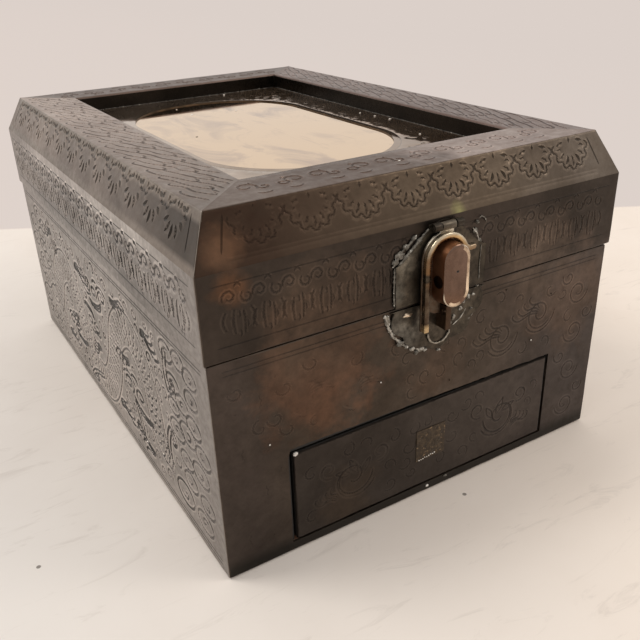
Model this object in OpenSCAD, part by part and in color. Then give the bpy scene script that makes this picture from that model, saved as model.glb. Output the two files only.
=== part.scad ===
// Vanity box with a mirror sunk in its lid and a drawer below the compartment.
// Millimetres. The origin is the middle of the underside. X runs along the
// drawer front, Y from the front to the hinged back, and Z up.

/* [Case] */
// Width of the case over its brass, side to side
case_w = 152; // [136:1:200]
// Depth of the case over its brass, front to back
case_d = 217; // [180:1:280]
// Height of the case from the table to its rim
case_h = 73.5; // [68:0.5:100]
// Thickness of the case's wooden walls
wall_t = 8; // [6:0.5:10]
// Thickness of the wooden base
base_t = 3.8; // [3:0.2:8]
// Thickness of the board between the compartment and the drawer
divider_t = 4; // [3:0.5:8]
// Thickness of the brass sheet that covers the wood
skin_t = 0.8; // [0.5:0.1:1.2]
// Distance of the case's brass above the table
skin_lift = 0.4; // [0.2:0.1:1]
// Thickness of the felt on the compartment's and the drawer's floor
felt_t = 1.2; // [0.6:0.1:2]
// Clearance round the felt
felt_clear = 0.5; // [0.3:0.1:2]

/* [Lid] */
// Gap between the rim of the case and the lid
seam_gap = 0.4; // [0.3:0.1:1]
// How far the lid stands out past the case on each side
lid_proud = 0.8; // [0:0.1:1.5]
// Height of the lid's upright sides
skirt_h = 25; // [22:0.5:40]
// Thickness of the lid's wooden sides
lid_wall_t = 8; // [6:0.5:10]
// Height of the sloping band above the sides
slope_h = 14.1; // [12:0.1:20]
// How far the sloping band leans in
slope_run = 6.6; // [3:0.1:12]
// Width of the flat rim round the mirror
rim_w = 20.2; // [12:0.1:30]
// How far the rim's rails reach down inside the sides
rail_lap = 1; // [0.5:0.5:3]
// Thickness of the wooden panel that closes the lid from below
panel_t = 3; // [2:0.5:6]

/* [Mirror] */
// Depth of the mirror's mat below the rim
recess_depth = 6.3; // [3:0.1:8]
// Thickness of the brass strips that line the recess
liner_t = 0.8; // [0.5:0.1:1.5]
// Thickness of the brass mat over the mirror
mat_t = 0.4; // [0.4:0.1:1.2]
// Thickness of the mirror's glass
glass_t = 3; // [2:0.5:4]
// Clearance round the mirror's layers
mirror_clear = 0.3; // [0.1:0.1:0.6]
// Width of the mat's opening
mirror_w = 72; // [50:1:86]
// Length of the mat's opening
mirror_d = 132; // [90:1:150]
// Radius of the opening's corners
mirror_r = 35; // [5:1:38]
// Offset of the opening from the middle, to the right
mirror_x = -3.4; // [-4:0.2:4]

/* [Drawer] */
// Width of each wooden post beside the drawer
stile_w = 14.4; // [10:0.2:24]
// Height of the drawer front
drawer_h = 32; // [24:0.5:34]
// Gap over the drawer and at its sides
drawer_gap = 0.8; // [0.5:0.1:1.5]
// Gap under the drawer
drawer_run = 0.4; // [0.2:0.1:0.8]
// Thickness of the drawer front's wood
drawer_front_t = 8; // [5:0.5:12]
// Thickness of the drawer's sides and back
drawer_side_t = 5; // [3:0.5:8]
// Thickness of the drawer's bottom
drawer_bottom_t = 3; // [2:0.5:5]
// How much lower the drawer's sides are than its front
drawer_drop = 2; // [1:0.5:6]
// Length of the stop blocks behind the drawer
stop_l = 6; // [4:0.5:20]
// Width of each stop block
stop_w = 14; // [8:1:30]
// Height of the stop blocks
stop_h = 10; // [6:0.5:16]
// Gap between the shut drawer and its stops
stop_gap = 0.3; // [0.2:0.1:1]
// Height of the strips that guide the drawer
guide_h = 12; // [6:0.5:20]
// Side of the square solder patch left on the drawer front
patch_w = 12; // [6:0.5:20]
// Thickness of the solder patch
patch_t = 0.4; // [0.2:0.1:1]

/* [Hinges] */
// Distance of each hinge's middle from the side of the case
hinge_in = 32; // [24:1:40]
// Width of a hinge
hinge_w = 27; // [24:0.5:32]
// Height of a hinge leaf
leaf_h = 13; // [10:0.5:16]
// Thickness of a hinge leaf
leaf_t = 1; // [0.8:0.1:1.5]
// Radius of the hinge barrel
barrel_r = 2.2; // [2:0.1:3]
// Radius of the hinge pin
pin_r = 1; // [0.8:0.1:1.2]
// Running clearance round a pin
pin_clear = 0.05; // [0.03:0.01:0.08]
// Gap between two knuckles, and from the barrel to the lid
knuckle_gap = 0.3; // [0.2:0.1:0.6]
// Distance from the barrel to the edge of its leaf
leaf_edge = 0.4; // [0.3:0.1:1]
// Radius of a hinge nail's shank
nail_r = 0.9; // [0.6:0.1:1]
// Length of a hinge nail under its head
nail_l = 6.5; // [4:0.5:7]
// Radius of a hinge nail's head
nail_head_r = 1.9; // [1.5:0.1:2.4]
// Height of a hinge nail's head
nail_head_h = 0.8; // [0.5:0.1:1.2]
// Distance between two nails of a leaf
nail_pitch = 8.5; // [6:0.5:10]
// Clearance round a nail's shank
nail_clear = 0.05; // [0.03:0.01:0.1]

/* [Latch] */
// Place of the latch's middle, from the middle of the front
latch_x = 0.5; // [-12:0.5:12]
// Thickness of the latch's two plates
plate_t = 0.8; // [0.5:0.1:1.2]
// Width of the latch's plate on the lid
plate_w = 34; // [26:1:44]
// Height of that plate's shoulders over its lower edge
plate_shoulder = 13; // [8:0.5:18]
// Distance from the plate's edges to the seam and to the lid's slope
plate_edge = 0.5; // [0.3:0.1:1]
// Width of the scalloped plate on the case
keep_w = 37; // [28:1:46]
// Height of the scalloped plate
keep_h = 17; // [14:0.5:24]
// Depth of the scallops
scallop = 1.6; // [0.5:0.1:2.5]
// Number of scallops round the plate's lower edge
scallop_n = 5; // [3:1:9]
// Distance of the hasp's pin below the top of the lid's sides
hasp_drop = 1.7; // [1.5:0.1:4]
// Radius of the hasp's pin
hasp_pin_r = 0.6; // [0.5:0.1:0.8]
// Radius of the hasp's knuckles
hasp_barrel_r = 1.3; // [1.2:0.1:1.6]
// Gap between the hasp's knuckles and the plate
hasp_gap = 0.3; // [0.2:0.1:0.8]
// Width of the hasp's middle knuckle
hasp_knuckle_w = 5; // [4:0.5:7]
// Width of each of the lid's two knuckles for the hasp
hasp_ear_w = 2.6; // [2:0.1:4]
// Thickness of the hasp's back plate
hasp_plate_t = 0.8; // [0.5:0.1:1]
// Distance from the hasp's pin to the top of its arched strap
arch_drop = 1.7; // [1.6:0.1:3]
// How far the arch's middle is to the left of the latch's middle
arch_shift = 0.8; // [0:0.1:2]
// Radius of the arched strap, at its middle
arch_r = 7.1; // [6:0.1:9]
// Thickness of the arched strap
strap_t = 1.8; // [0.8:0.1:2.4]
// Depth of the arched strap
strap_depth = 2; // [1.5:0.1:5]
// How far the strap's long leg hangs below the seam
leg_drop = 8.5; // [4:0.5:10]
// Length of the strap's flared foot
foot_l = 2; // [1:0.5:5]
// Bend radius of the flared foot
foot_r = 2.5; // [2:0.5:4]
// Width of the hasp's tongue
tongue_w = 10; // [8:0.2:12]
// Depth of the hasp's tongue
tongue_depth = 5.6; // [2:0.1:7]
// Distance from the top of the arched strap to the top of the tongue
tongue_drop = 2.6; // [2:0.1:4]
// Radius of the hole in the tongue
eye_r = 0.9; // [0.5:0.1:1.5]
// Distance of the hole below the tongue's top
eye_drop = 8.3; // [6:0.1:12]
// How far the hasp's fork hangs below the seam
fork_drop = 3.9; // [3:0.1:5]
// Width of the slot in the fork
slot_w = 3.2; // [2.6:0.1:4]
// Height of the slot in the fork
slot_h = 7; // [5:0.5:9]
// Width of the fork's lower edge
fork_w = 7; // [5:0.5:9]
// Rise of the fork's lower edge towards the strap's foot
fork_rise = 6; // [3:0.5:8]
// Thickness of the staple on the case
staple_w = 2; // [1.2:0.1:2.2]
// How far the staple stands out of its plate
staple_l = 4.6; // [3.5:0.1:6]
// Height of the staple
staple_h = 8; // [6:0.5:10]
// Distance of the staple's top below the rim of the case
staple_drop = 1.1; // [0.8:0.1:2]
// Gap between the staple and the tongue over it
staple_gap = 0.5; // [0.3:0.1:1]
// Radius of the hole through the staple
staple_hole_r = 0.7; // [0.5:0.05:0.8]
// Radius of the wire loop's bend
loop_r = 4.2; // [3:0.1:5]
// Radius of the wire loop's wire
wire_r = 0.45; // [0.3:0.05:0.7]
// Distance of the wire loop's ends above the plate's lowest point
loop_up = 6.5; // [6:0.5:9]

/* [Hidden] */

// Facets of a round bar and of an arc, and how far a cut reaches past its work
round_fn = 48;
arc_n = 12;
over = 1;

// Shape of the latch's parts: points and fullness of the lid plate's ogee,
// points and upright edge of the scalloped plate, and the angles at which
// the strap leaves its arch for the flared foot
ogee_n = 12;
ogee_power = 0.8;
keep_n = 60;
keep_edge = 0.5;
foot_a = 25;
foot_blend = 12;

// Half sizes of the case, of its wood and of its hollow
half_w = case_w / 2;
half_d = case_d / 2;
wood_w = half_w - skin_t;
wood_d = half_d - skin_t;
hollow_w = wood_w - wall_t;
hollow_d = wood_d - wall_t;

// The drawer's and its opening's half widths, and their levels and ends
drawer_z0 = base_t + drawer_run;
drawer_z1 = drawer_z0 + drawer_h;
hole_w = hollow_w - stile_w;
drawer_w = hole_w - drawer_gap;
hole_z = drawer_z1 + drawer_gap;
floor_z = hole_z + divider_t;
drawer_end = hollow_d - stop_l - stop_gap;
tray_w = drawer_w - drawer_side_t;
tray_y0 = -wood_d + drawer_front_t;
tray_y1 = drawer_end - drawer_side_t;

// The lid's half sizes and levels
lid_w = half_w + lid_proud;
lid_d = half_d + lid_proud;
lid_z0 = case_h + seam_gap;
skirt_z = lid_z0 + skirt_h;
top_z = skirt_z + slope_h;
rail_z0 = skirt_z - rail_lap;
open_w = lid_w - slope_run - rim_w;
open_d = lid_d - slope_run - rim_w;

// The folds of the brass: how far its inner face's corners are drawn in
lean = atan(slope_run / slope_h);
fold_low = skin_t * tan(lean / 2);
fold_top = skin_t * tan((90 - lean) / 2);

// The mirror's layers, from the mat down
mat_z1 = top_z - recess_depth;
mat_z0 = mat_z1 - mat_t;
glass_z0 = mat_z0 - glass_t;
layer_w = open_w + liner_t - mirror_clear;
layer_d = open_d + liner_t - mirror_clear;

// The hinge's place, and its axis at the seam behind the lid
hinge_x = half_w - hinge_in;
axis_y = lid_d + knuckle_gap + barrel_r;
axis_z = case_h + seam_gap / 2;
neck_h = barrel_r + leaf_edge;
neck_y = axis_y - barrel_r / 2;
knuckle_n = 3;
knuckle_l = (hinge_w - (knuckle_n - 1) * knuckle_gap) / knuckle_n;

// The latch, from the lid's front face outward
plate_y = -lid_d - plate_t;
keep_y = -half_d - plate_t;
hasp_axis_y = plate_y - hasp_gap - hasp_barrel_r;
hasp_axis_z = skirt_z - hasp_drop;
hasp_back_y = hasp_axis_y + hasp_plate_t;
arch_x = latch_x - arch_shift;
arch_top = hasp_axis_z - arch_drop;
arch_z = arch_top - arch_r - strap_t / 2;
tongue_top = arch_top - tongue_drop;
leg_z = axis_z - leg_drop;
fork_z = axis_z - fork_drop;
staple_z1 = case_h - staple_drop;
tongue_low = staple_z1 + staple_gap;

// A block between its lowest and its highest corner
module block(lo, hi) {
    translate(lo) cube([hi[0] - lo[0], hi[1] - lo[1], hi[2] - lo[2]]);
}

// A round bar along X, from x0 to x1
module bar_x(x0, x1, y, z, r) {
    translate([x0, y, z]) rotate([0, 90, 0])
        cylinder(h = x1 - x0, r = r, $fn = round_fn);
}

// A flat plate in the XZ plane, from the face at y towards the front
module front_plate(points, y, t) {
    translate([0, y, 0]) rotate([90, 0, 0]) linear_extrude(t) polygon(points);
}

// Points on an arc, from angle a0 to a1
function arc(cx, cz, r, a0, a1, n = arc_n) =
    [for (i = [0 : n]) let (a = a0 + (a1 - a0) * i / n)
        [cx + r * cos(a), cz + r * sin(a)]];

// A strip of thickness t along a line of points
function unit(v) = v / norm(v);
function heading(p, i) = unit(p[min(i + 1, len(p) - 1)] - p[max(i - 1, 0)]);
function strip_side(p, off) =
    [for (i = [0 : len(p) - 1]) let (h = heading(p, i))
        [p[i][0] - off * h[1], p[i][1] + off * h[0]]];
function backwards(p) = [for (i = [len(p) - 1 : -1 : 0]) p[i]];
function strip(p, t) = concat(strip_side(p, t / 2), backwards(strip_side(p, -t / 2)));

// One side of a mitred ring. The profile's first number is the distance in
// from the ring's outer face, and its second is the height. The side lies
// along X, at the front of a ring of half sizes half_len and half_off.
module mitred_side(profile, half_len, half_off) {
    reach = slope_run + rim_w + over;
    intersection() {
        translate([-half_len, -half_off, 0]) rotate([90, 0, 90])
            linear_extrude(2 * half_len) polygon(profile);
        linear_extrude(top_z + over) polygon([
            [-half_len, -half_off], [half_len, -half_off],
            [half_len - reach, reach - half_off], [reach - half_len, reach - half_off]
        ]);
    }
}

// The same side turned to the front, right, back or left of the lid
module lid_side(side, profile) {
    across = side % 2 == 0;
    rotate([0, 0, 90 * side])
        mitred_side(profile, across ? lid_w : lid_d, across ? lid_d : lid_w);
}

// Case: the wood
module base_board() {
    color("#5a3b26") block([-wood_w, -wood_d, 0], [wood_w, wood_d, base_t]);
}

module side_board() {
    color("#6b4429") block([hollow_w, -wood_d, base_t], [wood_w, wood_d, case_h]);
}

module side_board_right() {
    side_board();
}

module side_board_left() {
    mirror([1, 0, 0]) side_board();
}

module back_board() {
    color("#6b4429") difference() {
        block([-hollow_w, hollow_d, base_t], [hollow_w, wood_d, case_h]);
        hinge_nails(-1, half_d, nail_r + nail_clear);
    }
}

module front_rail() {
    color("#6b4429") block([-hollow_w, -wood_d, hole_z], [hollow_w, -hollow_d, case_h]);
}

module front_stiles() {
    color("#6b4429") for (side = [0, 1]) mirror([side, 0, 0])
        block([hole_w, -wood_d, base_t], [hollow_w, -hollow_d, hole_z]);
}

module divider_board() {
    color("#74492c") block([-hollow_w, -hollow_d, hole_z], [hollow_w, hollow_d, floor_z]);
}

module drawer_guides() {
    color("#7d5232") for (side = [0, 1]) mirror([side, 0, 0])
        block([hole_w, -hollow_d, base_t], [hollow_w, hollow_d, base_t + guide_h]);
}

module drawer_stops() {
    color("#7d5232") for (side = [0, 1]) mirror([side, 0, 0])
        block([hole_w - stop_w, hollow_d - stop_l, base_t],
              [hole_w, hollow_d, base_t + stop_h]);
}

module compartment_felt() {
    color("#5b1f22") block(
        [-hollow_w + felt_clear, -hollow_d + felt_clear, floor_z],
        [hollow_w - felt_clear, hollow_d - felt_clear, floor_z + felt_t]);
}

// Case: the brass
module case_skin_front() {
    color("#3b3833") difference() {
        block([-wood_w, -half_d, skin_lift], [wood_w, -wood_d, case_h]);
        block([-hole_w, -half_d - over, base_t], [hole_w, -wood_d + over, hole_z]);
    }
}

module case_skin_back() {
    color("#4a4843") difference() {
        block([-wood_w, wood_d, skin_lift], [wood_w, half_d, case_h]);
        hinge_nails(-1, half_d, nail_r + nail_clear);
    }
}

module case_skin_side() {
    color("#77756e") block([wood_w, -half_d, skin_lift], [half_w, half_d, case_h]);
}

module case_skin_right() {
    case_skin_side();
}

module case_skin_left() {
    mirror([1, 0, 0]) case_skin_side();
}

// Hinges: up is 1 for the lid's leaf and -1 for the case's, and face is
// the outer face that the leaf lies on.
function nail_z(up) = axis_z + up * (neck_h + leaf_h / 2);

module nail_places(up, face) {
    for (side = [-1, 1], k = [-1 : 1])
        translate([side * hinge_x + k * nail_pitch, face, nail_z(up)])
            rotate([-90, 0, 0]) children();
}

// Shanks of every nail through one pair of leaves, at the radius r
module hinge_nails(up, face, r) {
    nail_places(up, face + leaf_t)
        translate([0, 0, -nail_l]) cylinder(h = nail_l, r = r, $fn = round_fn);
}

module nails_with_heads(up, face) {
    color("#8a7440") {
        hinge_nails(up, face, nail_r);
        nail_places(up, face + leaf_t)
            cylinder(h = nail_head_h, r1 = nail_head_r, r2 = nail_r, $fn = round_fn);
    }
}

module hinge_leaf(side, up, face) {
    mid = side * hinge_x;
    far = axis_z + up * (neck_h + leaf_h);
    near = axis_z + up * neck_h;
    color("#7a6a45") difference() {
        union() {
            block([mid - hinge_w / 2, face, min(near, far)],
                  [mid + hinge_w / 2, face + leaf_t, max(near, far)]);
            for (k = up > 0 ? [1] : [0, 2]) {
                x0 = mid - hinge_w / 2 + k * (knuckle_l + knuckle_gap);
                bar_x(x0, x0 + knuckle_l, axis_y, axis_z, barrel_r);
                block([x0, face, min(axis_z, near)],
                      [x0 + knuckle_l, neck_y, max(axis_z, near)]);
            }
        }
        bar_x(mid - hinge_w, mid + hinge_w, axis_y, axis_z, pin_r + pin_clear);
        translate([0, over, 0]) hinge_nails(up, face, nail_r + nail_clear);
    }
}

module hinge_pin(side) {
    color("#9a8a60") bar_x(side * hinge_x - hinge_w / 2, side * hinge_x + hinge_w / 2,
                           axis_y, axis_z, pin_r);
}

module hinge_leaf_case_left() {
    hinge_leaf(-1, -1, half_d);
}

module hinge_leaf_case_right() {
    hinge_leaf(1, -1, half_d);
}

module hinge_leaf_lid_left() {
    hinge_leaf(-1, 1, lid_d);
}

module hinge_leaf_lid_right() {
    hinge_leaf(1, 1, lid_d);
}

module hinge_pin_left() {
    hinge_pin(-1);
}

module hinge_pin_right() {
    hinge_pin(1);
}

module hinge_nails_case() {
    nails_with_heads(-1, half_d);
}

module hinge_nails_lid() {
    nails_with_heads(1, lid_d);
}

// Lid: the wood
module lid_end(side) {
    in_w = lid_w - skin_t - lid_wall_t;
    color("#6b4429") rotate([0, 0, 90 * side])
        block([-in_w, -lid_d + skin_t, lid_z0], [in_w, -lid_d + skin_t + lid_wall_t, rail_z0]);
}

module lid_board_front() {
    lid_end(0);
}

module lid_board_back() {
    difference() {
        lid_end(2);
        hinge_nails(1, lid_d, nail_r + nail_clear);
    }
}

module lid_board_side() {
    in_w = lid_w - skin_t - lid_wall_t;
    color("#6b4429") block([in_w, -lid_d + skin_t, lid_z0],
                           [lid_w - skin_t, lid_d - skin_t, rail_z0]);
}

module lid_board_right() {
    lid_board_side();
}

module lid_board_left() {
    mirror([1, 0, 0]) lid_board_side();
}

function rail_profile() = [
    [skin_t, rail_z0], [skin_t, skirt_z - fold_low],
    [slope_run + fold_top, top_z - skin_t],
    [slope_run + rim_w - liner_t, top_z - skin_t],
    [slope_run + rim_w - liner_t, rail_z0]
];

module lid_rail_front() {
    color("#5f3d25") lid_side(0, rail_profile());
}

module lid_rail_right() {
    color("#5f3d25") lid_side(1, rail_profile());
}

module lid_rail_back() {
    color("#5f3d25") lid_side(2, rail_profile());
}

module lid_rail_left() {
    color("#5f3d25") lid_side(3, rail_profile());
}

module lid_panel() {
    panel_w = lid_w - skin_t - lid_wall_t;
    panel_d = lid_d - skin_t - lid_wall_t;
    color("#7d5232") block([-panel_w, -panel_d, rail_z0 - panel_t],
                           [panel_w, panel_d, rail_z0]);
}

// Lid: the brass, folded over the side, the slope and the rim
function skin_profile() = [
    [0, lid_z0], [0, skirt_z], [slope_run, top_z], [slope_run + rim_w, top_z],
    [slope_run + rim_w, top_z - skin_t], [slope_run + fold_top, top_z - skin_t],
    [skin_t, skirt_z - fold_low], [skin_t, lid_z0]
];

module lid_skin_front() {
    color("#45423a") lid_side(0, skin_profile());
}

module lid_skin_right() {
    color("#5c5a52") lid_side(1, skin_profile());
}

module lid_skin_back() {
    color("#5c5a52") difference() {
        lid_side(2, skin_profile());
        hinge_nails(1, lid_d, nail_r + nail_clear);
    }
}

module lid_skin_left() {
    color("#77756e") lid_side(3, skin_profile());
}

// Mirror
module mirror_layer(z0, z1) {
    block([-layer_w, -layer_d, z0], [layer_w, layer_d, z1]);
}

module mirror_backing() {
    color("#8a7a62") mirror_layer(rail_z0, glass_z0);
}

module mirror_glass() {
    color("#dcdccf") mirror_layer(glass_z0, mat_z0);
}

function mirror_outline(hw, hd, r) = concat(
    arc(hw - r, hd - r, r, 0, 90), arc(r - hw, hd - r, r, 90, 180),
    arc(r - hw, r - hd, r, 180, 270), arc(hw - r, r - hd, r, 270, 360));

module mirror_mat() {
    color("#6d6357") difference() {
        mirror_layer(mat_z0, mat_z1);
        translate([mirror_x, 0, mat_z0 - over]) linear_extrude(mat_t + 2 * over)
            polygon(mirror_outline(mirror_w / 2, mirror_d / 2, mirror_r));
    }
}

module recess_liner() {
    z1 = top_z - skin_t;
    color("#1d1b18") for (side = [0, 1]) {
        mirror([side, 0, 0]) block([open_w, -open_d - liner_t, mat_z1],
                                   [open_w + liner_t, open_d + liner_t, z1]);
        mirror([0, side, 0]) block([-open_w, open_d, mat_z1],
                                   [open_w, open_d + liner_t, z1]);
    }
}

// Latch: the plate and knuckles on the lid
plate_z0 = lid_z0 + plate_edge;
plate_rise = skirt_z - plate_edge - plate_z0 - plate_shoulder;
plate_points = concat(
    [[latch_x - plate_w / 2, plate_z0], [latch_x + plate_w / 2, plate_z0]],
    [for (i = [0 : 2 * ogee_n]) let (
        u = 1 - i / ogee_n,
        rise = pow((1 + cos(180 * u)) / 2, ogee_power))
        [latch_x + u * plate_w / 2, plate_z0 + plate_shoulder + plate_rise * rise]]);

module latch_lid_plate() {
    ear_x = hasp_knuckle_w / 2 + knuckle_gap;
    color("#6f6c62") difference() {
        union() {
            front_plate(plate_points, -lid_d, plate_t);
            for (side = [-1, 1]) {
                x0 = latch_x + (side > 0 ? ear_x : -ear_x - hasp_ear_w);
                bar_x(x0, x0 + hasp_ear_w, hasp_axis_y, hasp_axis_z, hasp_barrel_r);
                block([x0, hasp_axis_y, hasp_axis_z - hasp_barrel_r / 2],
                      [x0 + hasp_ear_w, plate_y + plate_t / 2,
                       hasp_axis_z + hasp_barrel_r / 2]);
            }
        }
        bar_x(latch_x - plate_w, latch_x + plate_w, hasp_axis_y, hasp_axis_z,
              hasp_pin_r + pin_clear);
    }
}

module latch_pin() {
    reach = hasp_knuckle_w / 2 + knuckle_gap + hasp_ear_w;
    color("#b29a5a") bar_x(latch_x - reach, latch_x + reach, hasp_axis_y, hasp_axis_z,
                           hasp_pin_r);
}

// Latch: the scalloped plate, the staple and the wire loop on the case
keep_z1 = case_h - plate_edge;
keep_points = concat(
    [[latch_x + keep_w / 2, keep_z1]],
    [for (i = [0 : keep_n]) let (
        a = -180 * i / keep_n,
        k = 1 - scallop / keep_h * (1 - abs(sin(scallop_n * a))))
        [latch_x + k * keep_w / 2 * cos(a),
         keep_z1 - keep_edge + k * (keep_h - keep_edge) * sin(a)]],
    [[latch_x - keep_w / 2, keep_z1]]);

module latch_case_plate() {
    color("#6f6c62") front_plate(keep_points, -half_d, plate_t);
}

module latch_staple() {
    hole_y = (hasp_axis_y + keep_y - staple_l) / 2;
    hole_z = staple_z1 - staple_h / 4;
    color("#a8935c") difference() {
        block([latch_x - staple_w / 2, keep_y - staple_l, staple_z1 - staple_h],
              [latch_x + staple_w / 2, keep_y, staple_z1]);
        bar_x(latch_x - staple_w, latch_x + staple_w, hole_y, hole_z, staple_hole_r);
    }
}

module latch_wire_loop() {
    color("#cfc9b4")
        translate([latch_x, keep_y - wire_r, keep_z1 - keep_h + loop_up])
            rotate([90, 0, 180]) rotate_extrude(angle = -180, $fn = round_fn)
                translate([loop_r, 0]) circle(r = wire_r, $fn = 16);
}

// Hasp
module hasp_plate() {
    edge = arch_r + strap_t / 2;
    leg_x = arch_x - edge + strap_t;
    outline = concat(
        arc(arch_x, arch_z, edge, 0, 180),
        [[arch_x - edge, leg_z], [leg_x, leg_z], [leg_x, fork_z + fork_rise / 3],
         [latch_x - fork_w / 2, fork_z], [latch_x + fork_w / 2, fork_z],
         [arch_x + edge, fork_z + fork_rise]]);
    color("#57493a") difference() {
        union() {
            front_plate(outline, hasp_back_y, hasp_plate_t);
            bar_x(latch_x - hasp_knuckle_w / 2, latch_x + hasp_knuckle_w / 2,
                  hasp_axis_y, hasp_axis_z, hasp_barrel_r);
            block([latch_x - hasp_knuckle_w / 2, hasp_axis_y, arch_z + arch_r / 2],
                  [latch_x + hasp_knuckle_w / 2, hasp_back_y, hasp_axis_z]);
        }
        bar_x(latch_x - plate_w, latch_x + plate_w, hasp_axis_y, hasp_axis_z,
              hasp_pin_r + pin_clear);
        block([latch_x - slot_w / 2, hasp_axis_y - over, fork_z - over],
              [latch_x + slot_w / 2, hasp_back_y + over, fork_z + slot_h]);
        eye_hole();
    }
}

module eye_hole() {
    translate([latch_x, hasp_back_y + over, tongue_top - eye_drop]) rotate([90, 0, 0])
        cylinder(h = tongue_depth + hasp_plate_t + 2 * over, r = eye_r, $fn = round_fn);
}

// The strap's middle line: up the long leg, over the arch and out to the foot
foot_cx = arch_x + (arch_r + foot_r) * cos(foot_a);
foot_cz = arch_z + (arch_r + foot_r) * sin(foot_a);
strap_line = concat(
    [[arch_x - arch_r, leg_z]],
    arc(arch_x, arch_z, arch_r, 180, foot_a),
    arc(foot_cx, foot_cz, foot_r, 180 + foot_a + foot_blend, 270),
    [[foot_cx + foot_l, foot_cz - foot_r]]);

module hasp_strap() {
    color("#c9a457") front_plate(strip(strap_line, strap_t), hasp_axis_y, strap_depth);
}

module hasp_tongue() {
    round_r = tongue_w / 2;
    color("#84706a") difference() {
        front_plate(concat(arc(latch_x, tongue_top - round_r, round_r, 0, 180),
                           arc(latch_x, tongue_low + round_r, round_r, 180, 360)),
                    hasp_axis_y, tongue_depth);
        eye_hole();
    }
}

// Drawer
module drawer_front() {
    color("#6b4429") block([-drawer_w, -wood_d, drawer_z0],
                           [drawer_w, tray_y0, drawer_z1]);
}

module drawer_side() {
    color("#7d5232") block([tray_w, tray_y0, drawer_z0],
                           [drawer_w, drawer_end, drawer_z1 - drawer_drop]);
}

module drawer_side_right() {
    drawer_side();
}

module drawer_side_left() {
    mirror([1, 0, 0]) drawer_side();
}

module drawer_back() {
    color("#7d5232") block([-tray_w, tray_y1, drawer_z0],
                           [tray_w, drawer_end, drawer_z1 - drawer_drop]);
}

module drawer_bottom() {
    color("#86603c") block([-tray_w, tray_y0, drawer_z0],
                           [tray_w, tray_y1, drawer_z0 + drawer_bottom_t]);
}

module drawer_skin() {
    color("#3b3833") block([-drawer_w, -half_d, drawer_z0],
                           [drawer_w, -wood_d, drawer_z1]);
}

module drawer_felt() {
    z0 = drawer_z0 + drawer_bottom_t;
    color("#5b1f22") block([-tray_w + felt_clear, tray_y0 + felt_clear, z0],
                           [tray_w - felt_clear, tray_y1 - felt_clear, z0 + felt_t]);
}

module solder_patch() {
    mid = drawer_z0 + drawer_h / 2;
    color("#7b5c42") block([-patch_w / 2, -half_d - patch_t, mid - patch_w / 2],
                           [patch_w / 2, -half_d, mid + patch_w / 2]);
}

base_board();
side_board_left();
side_board_right();
back_board();
front_rail();
front_stiles();
divider_board();
drawer_guides();
drawer_stops();
compartment_felt();
case_skin_front();
case_skin_back();
case_skin_left();
case_skin_right();
hinge_leaf_case_left();
hinge_leaf_case_right();
hinge_pin_left();
hinge_pin_right();
hinge_nails_case();
latch_case_plate();
latch_staple();
latch_wire_loop();
lid_board_front();
lid_board_back();
lid_board_left();
lid_board_right();
lid_rail_front();
lid_rail_back();
lid_rail_left();
lid_rail_right();
lid_panel();
mirror_backing();
mirror_glass();
mirror_mat();
recess_liner();
lid_skin_front();
lid_skin_back();
lid_skin_left();
lid_skin_right();
hinge_leaf_lid_left();
hinge_leaf_lid_right();
hinge_nails_lid();
latch_lid_plate();
latch_pin();
drawer_front();
drawer_side_left();
drawer_side_right();
drawer_back();
drawer_bottom();
drawer_skin();
drawer_felt();
solder_patch();
hasp_plate();
hasp_strap();
hasp_tongue();
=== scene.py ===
"""Looks of a vanity box with a mirror in its lid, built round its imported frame.

Lengths are in millimetres in the row frame until a mesh is made, and turn into
metres there. Every engraved line is cut into its brass sheet as real geometry.
"""

import math
import random
from typing import NamedTuple

import bmesh
import bpy
import numpy as np
from mathutils import Matrix, Vector, noise
from mathutils.geometry import delaunay_2d_cdt
from mathutils.kdtree import KDTree


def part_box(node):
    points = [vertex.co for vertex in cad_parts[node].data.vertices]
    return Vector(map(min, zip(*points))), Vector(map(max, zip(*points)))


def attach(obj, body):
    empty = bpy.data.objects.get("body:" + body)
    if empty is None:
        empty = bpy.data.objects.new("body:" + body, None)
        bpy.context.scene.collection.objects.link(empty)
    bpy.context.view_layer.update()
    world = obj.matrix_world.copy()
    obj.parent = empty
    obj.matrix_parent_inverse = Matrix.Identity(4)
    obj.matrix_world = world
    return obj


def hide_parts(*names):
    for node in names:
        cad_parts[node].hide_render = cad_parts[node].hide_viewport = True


MM = 0.001

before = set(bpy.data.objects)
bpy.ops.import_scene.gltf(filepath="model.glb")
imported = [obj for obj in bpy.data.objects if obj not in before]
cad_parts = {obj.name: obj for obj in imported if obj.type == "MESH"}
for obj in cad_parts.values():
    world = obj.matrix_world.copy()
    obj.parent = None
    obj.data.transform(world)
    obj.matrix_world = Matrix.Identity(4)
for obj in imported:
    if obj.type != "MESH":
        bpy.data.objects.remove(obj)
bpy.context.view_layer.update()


def box(node):
    """Lowest and highest corner of a CAD node, in millimetres."""
    lo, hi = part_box(node)
    return np.array(lo) / MM, np.array(hi) / MM


# Sizes of the frame
(_, _, CASE_Z0), (CASE_X, CASE_Y, CASE_Z1) = box("case_skin_right")
(OPEN_X, _, LID_Z0), (LID_X, LID_Y, LID_Z1) = box("lid_skin_right")
SKIN_T, SKIRT_H, SLOPE_RUN = 0.8, 25.0, 6.6
SLOPE_H = LID_Z1 - LID_Z0 - SKIRT_H
SLOPE_L = math.hypot(SLOPE_RUN, SLOPE_H)
RIM_W = LID_X - SLOPE_RUN - OPEN_X
SHEET_L = SKIRT_H + SLOPE_L + RIM_W
LID_CREASES = (SKIRT_H, SKIRT_H + SLOPE_L)

# Grooves narrow to a share of their width, TIP, over a length, TAPER, at both ends
TAPER, TIP, TIP_POWER = 1.3, 0.06, 0.7
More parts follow.
